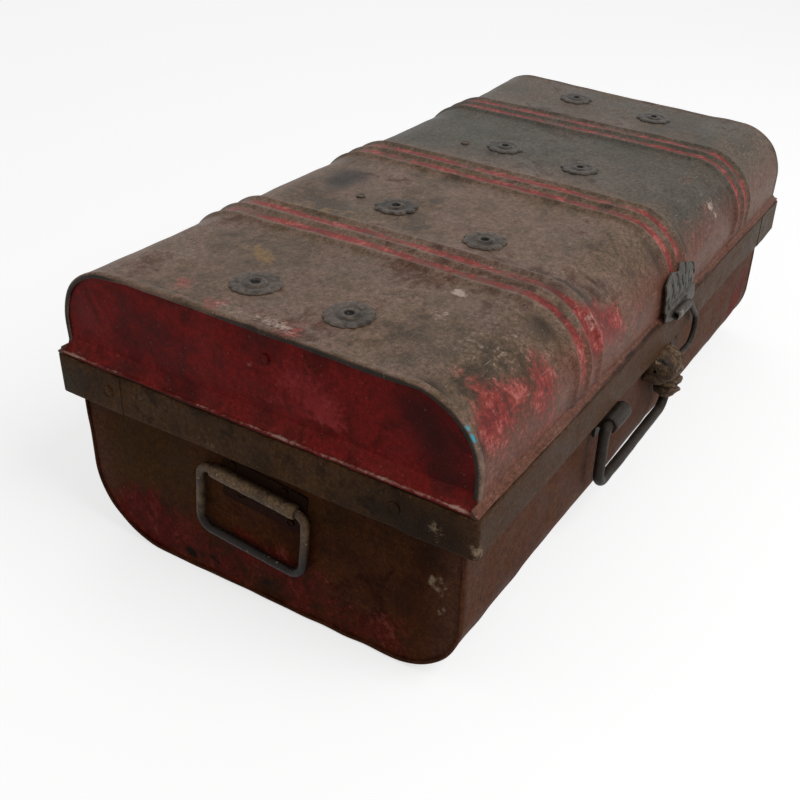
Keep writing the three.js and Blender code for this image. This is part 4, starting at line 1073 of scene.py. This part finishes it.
def bandMasks(points):
    top = smoothStep(points[:, 2], 137, 141)
    front = smoothStep(-points[:, 1], 140, 158)
    worn = patches(points, 20, 53)
    wear = wearOf(points, bandMarks)
    return {
        "red": 0.25 * patches(points, 34, 51),
        "pale": wear["pale"] + 0.12 * top + 0.15 * worn**3,
        "dark": 0.4 * (1 - worn) * (1 - 0.6 * front) + wear["darkening"],
        "cool": np.clip(wear["cool"], 0, 1),
        "ochre": 0.2 * worn,
        "warm": 0.75 * front,
    }


def bandProfile(sheet):
    # up the outside, over the fold, out and back along the flange, and down the inside
    h, flange = band["height"], -band["flange"]
    outside = [(-0.35, 0.0), (-0.05, 0.35)] + [(0.0, (0.04 + 0.15 * k) * h) for k in range(7)]
    fold = [(-0.12, h - 0.75), (-0.6, h - 0.15), (-1.4, h), (-5.0, h - 0.1)]
    tip = [(flange, h - 0.3), (flange - 0.2, h - 0.9), (flange, h - 1.2)]
    return np.array(outside + fold + tip + [(-sheet - 0.7, h - 1.1), (-sheet, h - 1.8), (-sheet, 0.3)])


def makeBand(name, path2d, sheet, stands):
    count = len(path2d)
    path = np.column_stack([path2d, np.full(count, band["bottom"])])
    side = np.column_stack([-leftNormals(path2d), np.zeros(count)])
    profile = np.tile(bandProfile(sheet), (count, 1, 1))
    loose = 1 - profile[..., 1] / band["height"]  # the lower edge ripples, the fold holds the upper one
    profile[..., 0] += band["ripple"] * noise(path, 31, 57)[:, None] * loose + band["swell"]
    profile[..., 1] += band["wave"] * noise(path, 24, 59)[:, None] * loose
    points, faces = carriedBody(path, side, (0, 0, 1), profile)
    placed = dented(points, extra=0.3, size=13, seed=43)
    placed[:, 2] = np.minimum(placed[:, 2], band["highest"])
    makePiece(name, (placed, faces), "bandPaint", "base", bandMasks, stands)


def strapPath(signX, signY, endRun):
    # along the long side, round the corner, along the end, walked so that the outside is on the right
    w, d, c = band["half"], band["depthHalf"], band["corner"]
    path = joinPaths(
        np.linspace((w - band["strapRun"], d), (w - c, d), 16),
        arcPoints(w - c, d - c, c, 90, 0, 9),
        np.linspace((w, d - c), (w, d - endRun), 15),
    ) * (signX, signY)
    return path[::-1] if signX * signY > 0 else path


straps = {
    "back_right": (1, 1, 50), "front_right": (1, -1, 55), "front_left": (-1, -1, 50), "back_left": (-1, 1, 55),
}
for corner, turned in straps.items():
    makeBand(f"band_corner_{corner}", strapPath(*turned), band["strapSheet"], f"rim_strap_{corner}")
w, d = (band[key] - band["stripInset"] for key in ("half", "depthHalf"))
long, (back, front) = band["stripEnd"], band["endStrip"]
strips = {
    "front": ((-long, -d), (long, -d)), "back": ((long, d), (-long, d)),
    "left": ((-w, back), (-w, -front)), "right": ((w, -back), (w, front)),
}
for side, (start, end) in strips.items():
    path = np.linspace(start, end, int(np.linalg.norm(np.subtract(end, start)) / band["stripStep"]))
    makeBand(f"band_{side}", path, band["stripSheet"], f"rim_strip_{side}")
print("rim band made")


# Flat rivets on the band, the lid and the handle plates
def rivetBody(radius, height):
    radii = [0, 0.35, 0.62, 0.74, 0.84, 0.95, 1.0, 1.0, 0]
    heights = [0.55, 0.55, 0.5, 0.42, 1.0, 0.95, 0.5, -0.3, -0.3]
    return turnedBody(np.array(radii) * radius, np.array(heights) * height, 28)


def standOn(points, place, normal):
    # a piece made on the plane z = 0 is set at a place with its Z along the normal
    turn = Vector((0, 0, 1)).rotation_difference(Vector(normal)).to_matrix()
    return points @ np.array(turn).T + np.asarray(place, float)


def makeRivet(name, place, normal, size, ride, finish, masks, stands=None):
    points, faces = rivetBody(*size)
    placed = (lidPlaced if ride == "lid" else dented)(standOn(points, place, normal), extra=0.2, size=3)
    makePiece(name, (placed, faces), finish, ride, masks, stands, weld=True)


# Each rim rivet's corner, side, height off the strip's face and place along the end
rimRivet = {"x": 295, "z": 127.2, "size": (4.2, 0.75), "strapLift": 0.45, "stripLift": 0.2}
rimRivets = {
    "left_back": (-1, "strapLift", 116), "left_front": (-1, "stripLift", -105),
    "right_front": (1, "strapLift", -116), "right_back": (1, "stripLift", 105),
}
for corner, (side, lift, y) in rimRivets.items():
    name, at = f"band_rivet_{corner}", (side * (rimRivet["x"] + rimRivet[lift]), y, rimRivet["z"])
    makeRivet(
        name, at, (side, 0, 0), rimRivet["size"], "base", "bandPaint", bandMasks,
        f"rim_rivet_{corner}",
    )


# Rosettes: nine soft petals round a raised eyelet, its dished middle painted dark as the shade of an
# opening; the two near ones are torn ragged
rosette = {
    "radii": [0, 2.2, 2.7, 3.1, 4.0, 5.4, 6.5, 7.1, 8.2, 10.0, 12.5, 14.6, 16.0, 16.5, 16.2, 0],
    "heights": [0.3, 0.3, 0.6, 1.3, 1.75, 1.8, 1.55, 1.0, 0.6, 0.95, 1.15, 1.1, 0.7, 0.2, -0.3, -0.3],
    "sides": 108, "lift": 0.35, "eyelet": 8, "curl": 0.3, "torn": 0.025, "tornSize": 2.2,
    "whole": {"scale": 0.9, "petals": 9, "depth": 0.17, "eyeletShare": 1, "petalShare": 1},
    "ragged": {"scale": 0.96, "petals": 16, "depth": 0.08, "eyeletShare": 0.92, "petalShare": 0.7},
    "places": [
        (-244.9, 30.1), (-244.9, -40), (-89.1, 30.1), (-103.8, -52.2), (80.2, 30.1), (73.2, -42.9), (249, 41.9),
        (244.3, -40),
    ],
}
stud = {
    "size": (3.4, 0.8), "lift": 0.4, "places": [(-86.1, 63), (67, 62.1)],
    "endSize": (3.6, 0.8), "endPlace": (-287.9, -10, 190),
}


def makeRosette(number, x, y):
    kind = rosette["ragged" if number <= 2 else "whole"]
    radii = np.array(rosette["radii"]) * kind["scale"]
    heights = rosette["heights"] * np.where(radii > rosette["eyelet"], kind["petalShare"], kind["eyeletShare"])
    angles = circleAngles(rosette["sides"])
    wave = 0.55 - np.abs(np.sin(angles * kind["petals"] / 2 + number)) ** 0.5
    rim = np.column_stack([6 * np.cos(angles), 6 * np.sin(angles), np.full(len(angles), 9.0 * number)])
    torn = rosette["torn"] * noise(rim, rosette["tornSize"], 141)
    reach = smoothStep(radii, 0.55 * radii.max(), 0.97 * radii.max())[:, None]
    curled = heights[:, None] - reach * rosette["curl"] * wave * (heights > 0)[:, None]
    lobes = 1 - reach * (kind["depth"] * wave + torn)
    points, faces = turnedBody(radii, curled, rosette["sides"], lobes)
    placed = lidPlaced(points + (x, y, lid["top"] + rosette["lift"]))
    away = np.hypot(placed[:, 0] - x, placed[:, 1] - y)
    worn = patches(placed, 5, 143)
    low = 1 - smoothStep(placed[:, 2], lid["top"] + 0.2, lid["top"] + 0.9)
    masks = {
        # painted shade in the eyelet's middle and round the petals' edges where they lie on the lid; darker
        # also in the dip round the eyelet
        "dark": 0.95 * (away < 3.2) + 0.6 * bell(away, 8.2, 1.2) + 0.3 * (1 - worn) + 0.5 * low * (away > 10),
        "pale": 0.3 * worn * bell(away, 5.2, 1.6) + 0.25 * worn * smoothStep(away, 13, 16.5),
        "cool": 0.4 * smoothStep(placed[:, 0], -60, 60),
        "red": 0.1,
        "ochre": 0.3 * worn * smoothStep(away, 12, 16),
    }
    name = f"lid_rosette_{number}"
    makePiece(name, (placed, faces), "greySteel", "lid", masks, f"rosette_{number}", weld=True)


def studMasks(points):
    return {"pale": 0.1 * patches(points, 6, 123), "cool": 0.45}


for number, (x, y) in enumerate(rosette["places"], 1):
    makeRosette(number, x, y)
for number, (x, y) in enumerate(stud["places"], 1):
    at = (x, y, lid["top"] + stud["lift"])
    makeRivet(
        f"lid_stud_{number}", at, (0, 0, 1), stud["size"], "lid", "lidPaint", studMasks,
        f"lid_rivet_{number}",
    )
at, size = stud["endPlace"], stud["endSize"]
makeRivet("lid_panel_stud", at, (-1, 0, 0), size, "lid", "lidRed", studMasks)
print("rosettes made")


# Drop handles, made with the sleeve along Y and the outside towards X, then turned to their end
handle = {
    "half": 41.75, "drop": 50.7, "shift": -2.5, "rod": 2.95, "start": 6, "bends": (7.5, 10.5, 10.5, 7.5),
    "held": (24, 24), "lean": -5.5,
    "sleeve": 66.0, "sleeveShift": -1.0, "sleeveRadius": 4.7, "bore": 3.25, "sides": 40,
    "plateBack": -4.6, "plateSheet": 1.0, "plateHalf": 33.0, "plateShift": 4.0, "rise": 12.5, "fall": 20.0,
    "plateProud": 0.35, "rivet": (2.7, 1.2),
    # places on the plate as shares of its length, and of its rise or fall
    "rivetShares": [(-0.38, 0.7), (0.24, 0.7), (-0.27, -0.6), (0.33, -0.68)],
}


def handlePlaced(points, side):
    # the near handle faces the other way and leans
    near = side < 0
    turn = Matrix.Rotation(math.pi if near else 0.0, 3, "Z")
    turn = turn @ Matrix.Rotation(math.radians(handle["lean"]) if near else 0.0, 3, "X")
    return steady(points @ np.array(turn).T + (side * handleAxis["x"], 0, handleAxis["z"]))


def sleeveBody():
    # rolled sheet, its wall drawn in towards the plate below and above, with flared and chipped ends
    low, high = handle["sleeveShift"] - handle["sleeve"] / 2, handle["sleeveShift"] + handle["sleeve"] / 2
    at = np.concatenate([[low, low + 0.4], np.linspace(low + 1.2, high - 1.2, 60), [high - 0.4, high]])
    angle = circleAngles(handle["sides"])
    back = smoothStep(-np.cos(angle), 0.35, 1.0)
    roll = 1 - 0.10 * np.exp(-np.minimum(at - low, high - at) / 0.5)
    reach = handle["sleeveRadius"] * roll[:, None] * (1 + 0.28 * back * np.abs(np.sin(angle)))
    outer = shaken(roundRings(1, at, reach, handle["sides"]), 0.28, 6, 151)
    return tubeBody(outer, roundRings(1, at, handle["bore"], handle["sides"]))


def plateBody():
    # a riveted plate with rounded corners, a little proud along its top where the sheet comes out of the roll
    rise, fall, r = handle["rise"], handle["fall"], handle["rod"]
    left, right = (handle["plateShift"] + side * handle["plateHalf"] for side in (-1, 1))
    outline = joinPaths(
        arcPoints(right - r, rise - r, r, 0, 90, 7),
        np.linspace((right - r, rise), (left + r, rise), 30),
        arcPoints(left + r, rise - r, r, 90, 180, 7),
        np.linspace((left, rise - r), (left, r - fall), 14),
        arcPoints(left + r, r - fall, r, 180, 270, 7),
        np.linspace((left + r, -fall), (right - r, -fall), 30),
        arcPoints(right - r, r - fall, r, 270, 360, 7),
        np.linspace((right, r - fall), (right, rise - r), 14),
    )[:-1]
    ragged = np.column_stack([np.zeros(len(outline)), outline])
    outline = outline + 0.5 * np.column_stack([noise(ragged, 6, 161), noise(ragged, 6, 162)])

    def front(y, z):
        return handle["plateBack"] + handle["plateSheet"] + handle["plateProud"] * bell(z, 0, 6)

    def back(y, z):
        return np.full(z.shape, handle["plateBack"])

    return panelBody(outline, 24, front, back)


def ringMasks(points):
    # painted shade makes the low bar dark and bluish; brown and rubbed near the sleeve
    low = 1 - smoothStep(points[:, 2], 42, 66)
    worn = patches(points, 8, 171)
    return {
        "red": 0.05, "pale": 0.12 * worn, "dark": 0.72 + 0.5 * low - 0.4 * worn, "cool": 0.85 * low,
        "ochre": 0.35 * worn * (1 - low),
    }


def sleeveMasks(points):
    # painted highlights and glints on the sleeve's outer side, painted shade on its inner side towards the
    # plate
    outward = smoothStep(np.abs(points[:, 0]), 291, 296)
    plate = 1 - smoothStep(np.abs(points[:, 0]), 288.5, 289.5)
    low = 1 - smoothStep(points[:, 2], 74, 90)
    return {
        "red": 0.1 + 0.5 * plate * low,
        "pale": outward * (0.05 + 0.5 * patches(points, 2.6, 173) ** 3),
        "dark": 0.2 * plate + 0.45 * (1 - outward) + 0.15,
        "ochre": 0.2,
        "cool": 0.3 * plate,
    }


half, drop, start = handle["half"], handle["drop"], handle["start"]
ringCorners = [(0, start, 0), (0, half, 0), (0, half, -drop), (0, -half, -drop), (0, -half, 0), (0, -start, 0)]
ringPath = bentPath(ringCorners, handle["bends"], 1.2) + (0, handle["shift"], 0)
for end, side in (("left", -1), ("right", 1)):
    roll, plate = sleeveBody(), plateBody()
    points, faces = together(roll, plate)
    body = handlePlaced(points, side), faces, np.arange(len(faces)) >= len(roll[1])
    makePiece(
        f"handle_sleeve_{end}", body, ["wornSteel", "basePaint"], "base", sleeveMasks,
        f"handle_plate_{end}", weld=True,
    )
    points, faces = rodBody(ringPath, (1, 0, 0), handle["rod"], 22, 0.05, handle["held"])
    placed = handlePlaced(shaken(points, 0.12, 8, 181), side)
    makePiece(
        f"handle_ring_{end}", (placed, faces), "wornSteel", f"{end}_handle", ringMasks,
        f"end_handle_{end}",
    )
    for number, (across, height) in enumerate(handle["rivetShares"], 1):
        points, faces = rivetBody(*handle["rivet"])
        y = handle["plateShift"] + across * 2 * handle["plateHalf"]
        z = height * (handle["rise"] if height > 0 else handle["fall"])
        at = (handle["plateBack"] + handle["plateSheet"], y, z)
        placed = handlePlaced(standOn(points, at, (1, 0, 0)), side)
        makePiece(
            f"handle_rivet_{end}_{number}", (placed, faces), "basePaint", "base", sleeveMasks,
            f"plate_rivet_{end}_{number}", weld=True,
        )
print("handles made")


# Front bail: a round bar with its ends turned in, in two forged lugs
bail = {
    "left": -113.0, "right": 20.0, "drop": 49.0, "rod": 4.0, "stub": 27.0, "bends": (5.0, 12.0, 12.0, 5.0),
    "held": (19, 19),
    "lugs": {"left": (-107.0, -80.0), "right": (-13.0, 14.0)}, "lugRadius": 6.5, "lugBore": 4.35,
}


def ironMasks(points):
    worn = patches(points, 9, 121)
    return {
        "red": 0.1, "pale": 0.1 + 0.25 * worn**2, "dark": 0.35 * (1 - worn), "ochre": 0.2 * worn, "cool": 0.3,
    }


def makeBail():
    # stub, left arm, foot, right arm, stub
    left, right, stub, top = bail["left"], bail["right"], bail["stub"], bailAxis["z"]
    low = top - bail["drop"]
    corners = [(left + stub, top), (left, top), (left, low), (right, low), (right, top), (right - stub, top)]
    path = bentPath([(x, bailAxis["y"], z) for x, z in corners], bail["bends"], 1.5)
    points, faces = rodBody(path, (0, 1, 0), bail["rod"], 26, 0.05, bail["held"])
    placed = steady(shaken(points, 0.15, 10, 191))
    makePiece("bail_bar", (placed, faces), "darkIron", "bail", ironMasks, "front_bail")


def lugBody(left, right):
    # a forged eye round the bail's stub on a neck and a foot flat on the wall
    at = np.array([left, left + 0.7, left + 1.8, (left + right) / 2, right - 1.8, right - 0.7, right])
    reach = bail["lugRadius"] * np.array([0.88, 0.97, 1.0, 1.015, 1.0, 0.97, 0.88])
    squared = 1 + 0.07 * np.cos(4 * circleAngles(32)) ** 2
    outer, inner = (roundRings(0, at, radius, 32) for radius in (reach[:, None] * squared, bail["lugBore"]))
    points, faces = tubeBody(outer, inner)
    neck = np.array([
        (-149.3, 87.2), (-150.5, 87), (-150.8, 88), (-150.9, 95.6), (-152.2, 96.8), (-156.5, 97), (-156.5, 105),
        (-152.2, 105.2), (-150.9, 105.9), (-150.8, 107.8), (-150.4, 108.5), (-149.3, 108.4),
    ])
    path = np.linspace((left + 0.4, 0, 0), (right - 0.4, 0, 0), 12)
    eye = points + (0, bailAxis["y"], bailAxis["z"]), faces
    return together(eye, carriedBody(path, (0, 1, 0), (0, 0, 1), neck))


makeBail()
for end, (left, right) in bail["lugs"].items():
    points, faces = lugBody(left, right)
    placed = steady(shaken(points, 0.2, 7, 201))
    makePiece(
        f"bail_lug_{end}", (placed, faces), "darkIron", "base", ironMasks, f"front_lug_{end}",
        weld=True, angle=40,
    )
print("bail made")


# Old hide wound round the bail's arm and round the lug beside it, in overlapping turns with curled edges
hide = {
    "sides": 96, "edge": 1.9, "fold": 0.9, "lump": 1.0,
    "binding": {"bore": 4.4, "turn": 11.5, "lean": 1, "seed": 221, "off": 0.4},
    "wrap": {"bore": 6.95, "turn": 8.5, "lean": -1, "seed": 231, "boreStart": -13.6, "wallFace": -151.0},
}


def hideBody(axis, at, reach, kind):
    # each turn starts thin and ends proud of the next one; folds run slantwise; the bore is round;
    # also gives how near each point is to a turn's edge and to a crease
    around, along = np.meshgrid(circleAngles(hide["sides"]), at)
    start = np.stack([14 * np.cos(around), 14 * np.sin(around), along], -1)
    wander = noise(start, 9, kind["seed"])
    turn = (along / kind["turn"] + around * kind["lean"] / (2 * math.pi) + 0.32 * wander) % 1.0
    step = smoothStep(turn, 0.0, 0.82) * (1 - smoothStep(turn, 0.92, 1.0))
    fold = np.sin(3 * around + 0.55 * along + 3.2 * wander)
    lump = noise(start, 5, kind["seed"] + 1)
    thick = hide["edge"] * step + hide["fold"] * fold + hide["lump"] * lump
    full = reach + np.clip(reach / 6, 0, 1) * thick
    outer = ringsAlong(axis, at, full * np.cos(around), full * np.sin(around))
    inner = roundRings(axis, [kind.get("boreStart", at[0]), at[-1]], kind["bore"], hide["sides"])
    edge = bell(turn, 0.86, 0.07)
    # painted shade in the creases, just under each turn's proud edge, and on the bore
    creaseShade = bell(turn, 0.03, 0.09) + 0.5 * smoothStep(-fold, 0.4, 1.0)
    onBore = np.ones(2 * hide["sides"])
    return tubeBody(outer, inner), np.append(edge, 0 * onBore), np.append(creaseShade, onBore)


def makeHide(name, stands, ride, body, edge, creaseShade):
    worn = patches(body[0], 4, 211)
    # dark: painted shade in the creases, and patchy dark all over
    pale, dark = 0.75 * edge * (0.4 + 0.6 * worn), 0.9 * creaseShade + 0.25 * (1 - worn)
    masks = {"pale": pale, "dark": dark, "ochre": 0.5 * worn}
    makePiece(name, body, "oldHide", ride, masks, stands, angle=70)


def makeBinding():
    # thickest half way down the bail's right arm
    kind = hide["binding"]
    down = np.linspace(-37.5, -7.0, 74)
    swell = np.sin(np.clip((down + 40) / 35, 0, 1) * math.pi) ** 0.45
    (points, faces), edge, creaseShade = hideBody(2, down, 5.0 + 4.0 * swell[:, None], kind)
    placed = steady(points + (bail["right"], bailAxis["y"] - kind["off"], bailAxis["z"]))
    makeHide("hide_binding", "leather_binding", "bail", (placed, faces), edge, creaseShade)


def makeWrap():
    # closed over the lug's left end and flat against the wall
    kind = hide["wrap"]
    across = np.concatenate([[-17.6, -17.4], np.linspace(-17.0, 9.4, 64)])
    swell = np.sin(np.clip((across + 21) / 36, 0, 1) * math.pi) ** 0.4
    endShare = np.sqrt(np.clip((across + 17.6) / 4.2, 0.012, 1))
    (points, faces), edge, creaseShade = hideBody(0, across, ((8.6 + 3.0 * swell) * endShare)[:, None], kind)
    placed = points + (0, bailAxis["y"], bailAxis["z"])
    placed[:, 1] = np.minimum(placed[:, 1], kind["wallFace"])
    makeHide("hide_wrap", "leather_wrap", "base", (steady(placed), faces), edge, creaseShade)


makeBinding()
makeWrap()
print("hide made")


# Hasp: a pressed ornament plate over the lid's foot, torn round its edge, with a rolled knuckle for the hook
hasp = {
    "left": -17.0, "right": 47.0, "foot": 139.0, "face": -161.5, "step": 149.0, "lidFace": -160.4,
    "stepTop": 152.0, "bend": 163.6, "bendBack": -110, "bendEnd": 160,
    "sheet": 1.2, "rows": 70, "cols": 66, "leftFoot": 4.2,
    "leanLeft": 0.14, "leanRight": 0.27, "leanFrom": 143, "scallop": 0.7,
    # the torn top edge from left to right, as shares of the plate's full length
    "topShares": [0.83, 0.87, 0.93, 0.955, 0.94, 0.9, 0.88, 1.0, 0.985, 0.92, 0.9, 0.85, 0.83, 0.775],
    # short wavy grooves of the pressed pattern, each its X, low end and top
    "grooves": [
        (-12, 150, 163), (-5, 158, 172), (1, 154, 161), (4, 164, 177), (9, 155, 168), (15, 160, 172),
        (20, 168, 180), (22, 154, 163), (29, 157, 170), (35, 153, 161), (37, 164, 175), (42, 155, 167),
    ],
}


def haspBody():
    # rows run up the plate and columns across it; also gives each point's share of groove and of raised bar
    face, lidFace = hasp["face"], hasp["lidFace"]
    path = joinPaths(
        np.linspace((face, hasp["foot"]), (face, hasp["step"]), 12),
        np.linspace((face, hasp["step"]), (lidFace, hasp["stepTop"]), 5),
        np.linspace((lidFace, hasp["stepTop"]), (lidFace, hasp["bend"]), 14),
        arcPoints(hasp["bendBack"], hasp["bend"], hasp["bendBack"] - lidFace, 180, hasp["bendEnd"], 20),
    )
    length = runLengths(path)
    across = np.linspace(0, 1, hasp["cols"])
    height = length[-1] * np.interp(across, np.linspace(0, 1, len(hasp["topShares"])), hasp["topShares"])
    start = hasp["leftFoot"] * (1 - smoothStep(across, 0.0, 0.24))  # the left foot is bent up a little
    run = start[:, None] + np.linspace(0, 1, hasp["rows"]) * (height - start)[:, None]
    y, z = (np.interp(run, length, column) for column in path.T)
    # the sides lean a little and are torn in small scallops
    high = np.clip(z - hasp["leanFrom"], 0, None)
    scallop = hasp["scallop"] * np.abs(np.sin((z - hasp["foot"]) * 0.4)) * smoothStep(z, 152, 158)
    leftEdge = hasp["left"] - hasp["leanLeft"] * high + scallop
    rightEdge = hasp["right"] - hasp["leanRight"] * high - scallop
    x = leftEdge + (rightEdge - leftEdge) * across[:, None]
    # the grooves, two lines along the knuckle, and a slot at the hook's end: a shallow dip painted dark as the
    # shade of an opening
    flutes = 0.6 * bell(z, 152.6 + 0.02 * x, 0.6) * smoothStep(x, -8, -2)
    flutes = flutes + 1.2 * bell(x, 23, 3.2, 4) * bell(z, 147.8, 1.4, 4)
    for at, low, top in hasp["grooves"]:
        wave = at - 0.2 * (z - low) + 1.1 * np.sin(z * 0.5 + at)
        flutes = flutes + bell(x, wave, 1.0) * smoothStep(z, low, low + 2) * (1 - smoothStep(z, top - 2, top))
    flutes = np.clip(flutes, 0, 1)
    bar = bell(z, 150.4 + 0.02 * x, 1.0)
    relief = 0.9 * bar - flutes + 0.35 * noise(np.stack([x, y, z], -1), 4, 241)
    points, faces, _ = sheetBody(np.stack([x, y - relief, z], -1), np.stack([x, y + hasp["sheet"], z], -1))
    grooves, raised = (np.concatenate([form, 0 * form], 1).ravel() for form in (flutes, bar))
    return (points, faces), grooves, raised


def knuckleBody():
    at = np.array([-3.0, -2.6, -1.6, 4, 9.5, 15, 20.6, 21.6, 22.0])
    reach = np.array([3.3, 3.6, 3.8, 3.7, 3.75, 3.7, 3.8, 3.7, 3.4])
    outer = roundRings(0, at, reach[:, None] * (1 + 0.02 * np.cos(3 * circleAngles(32))), 32)
    points, faces = tubeBody(outer, roundRings(0, at, 2.45, 32))
    return points + (0, hookAxis["y"], hookAxis["z"]), faces


def makeHasp():
    plate, grooves, raised = haspBody()
    knuckle = knuckleBody()
    points, faces = together(plate, knuckle)
    placed = lidPlaced(points, extra=0.12, size=5)
    onPlate = np.arange(len(points)) < len(plate[0])
    # painted highlight on the front of the knuckle's left end
    knuckleHighlight = ~onPlate * (1 - smoothStep(points[:, 0], 2, 10)) * smoothStep(-points[:, 1], 164, 167)
    grooves, raised = (np.append(form, np.zeros(len(knuckle[0]))) for form in (grooves, raised))
    worn = patches(placed, 6, 243)
    masks = {
        # dark in the pressed grooves, and in the slot as painted shade
        "dark": 0.95 * grooves + 0.45 * (1 - worn) - 0.3 * raised,
        "pale": 0.15 * worn * raised + 0.7 * knuckleHighlight + 0.06,
        "cool": 0.55,
        "red": 0.1 * worn,
        "ochre": 0.3 * worn,
    }
    makePiece("hasp_leaf", (placed, faces), "greySteel", "lid", masks, "hasp_plate", angle=60)


# Hook: its tail turns in the knuckle and its arm hangs in a round loop; places are X and Z
hook = {
    "places": [(-1, 144), (27, 144), (55, 119), (54.5, 97), (21, 97.5)], "bends": (4.5, 13, 11), "rod": 2.3,
    "held": (21, 0),
}


def makeHook():
    path = bentPath([(x, hookAxis["y"], z) for x, z in hook["places"]], hook["bends"], 1.0)
    points, faces = rodBody(path, (0, 1, 0), hook["rod"], 20, 0.06, hook["held"])
    placed = lidPlaced(points, extra=0.1, size=6)
    makePiece("hasp_arm", (placed, faces), "darkIron", "hook", ironMasks, "hasp_hook")


makeHasp()
makeHook()
print("hasp made")


# Solids that keep their own form: the hinges on the back, and the catch plate with its rivet
kept = {"catch_plate": "bandPaint", "catch_rivet": "bandPaint"}
for end in ("left", "right"):
    for part in ("leaf_base", "leaf_lid", "pin"):
        kept[f"hinge_{part}_{end}"] = "darkIron"
for name, finish in kept.items():
    bpy.data.objects[name].material_slots[0].material = finishes[finish]
print("solids kept")


# White room: the eye, mirrors and glass see plain white, and the trunk is lit by less of it and by two lamps
studio = {
    "fill": 0.36, "backdrop": 1.0, "glow": 0.67, "chalk": "#b9b9b9",
    "aim": (0, 0, 0.1), "floorHalf": 6, "floorZ": -0.0005,
    "lamps": {
        "key": {"place": (-0.15, -1.6, 1.85), "size": 1.4, "power": 27},
        "rim": {"place": (1.4, 1.2, 1.7), "size": 1.6, "power": 2.5},
    },
}
white = (1, 1, 1, 1)


def pickForEye(tree, hidden, shown, output):
    # eye, glossy and transmission rays take the shown shader and all others the hidden one
    camera, glossy, through = (
        addNode(tree, "LightPath", out=f"Is {kind} Ray") for kind in ("Camera", "Glossy", "Transmission")
    )
    eye = addNode(tree, "Math", {"operation": "MAXIMUM"}, {0: camera, 1: glossy})
    eye = addNode(tree, "Math", {"operation": "MAXIMUM"}, {0: eye, 1: through})
    pick = addNode(tree, "MixShader", {}, {0: eye, 1: hidden, 2: shown})
    addNode(tree, output, {}, {0: pick})


world = bpy.data.worlds.new("studio")
bpy.context.scene.world = world
world.use_nodes = True
tree = world.node_tree
tree.nodes.clear()
fill = addNode(tree, "Background", {"Color": white, "Strength": studio["fill"]})
backdrop = addNode(tree, "Background", {"Color": white, "Strength": studio["backdrop"]})
pickForEye(tree, fill, backdrop, "OutputWorld")

for name, lamp in studio["lamps"].items():
    light = bpy.data.lights.new(name, "AREA")
    light.energy = lamp["power"]
    light.size = lamp["size"]
    lampObject = addToScene(name, light)
    aim = Vector(studio["aim"]) - Vector(lamp["place"])
    lampObject.rotation_euler = aim.to_track_quat("-Z", "Y").to_euler()
    lampObject.location = lamp["place"]

# the floor is chalk, and where it is seen a glow lifts it to white, so that only its shadow darkens
floorMaterial, tree = newFinish("white floor")
chalk = addNode(tree, "BsdfDiffuse", {"Color": linearColour(studio["chalk"])})
glow = addNode(tree, "Emission", {"Color": white, "Strength": studio["glow"]})
lit = addNode(tree, "AddShader", {}, {0: chalk, 1: glow})
pickForEye(tree, chalk, lit, "OutputMaterial")
half = studio["floorHalf"]
corners = [(-half, -half, 0), (half, -half, 0), (half, half, 0), (-half, half, 0)]
floorMesh = bpy.data.meshes.new("floor")
floorMesh.from_pydata(corners, [], [(0, 1, 2, 3)])
floorMesh.materials.append(floorMaterial)
floor = addToScene("floor", floorMesh)
floor.location.z = studio["floorZ"]
print("floor and lights set")
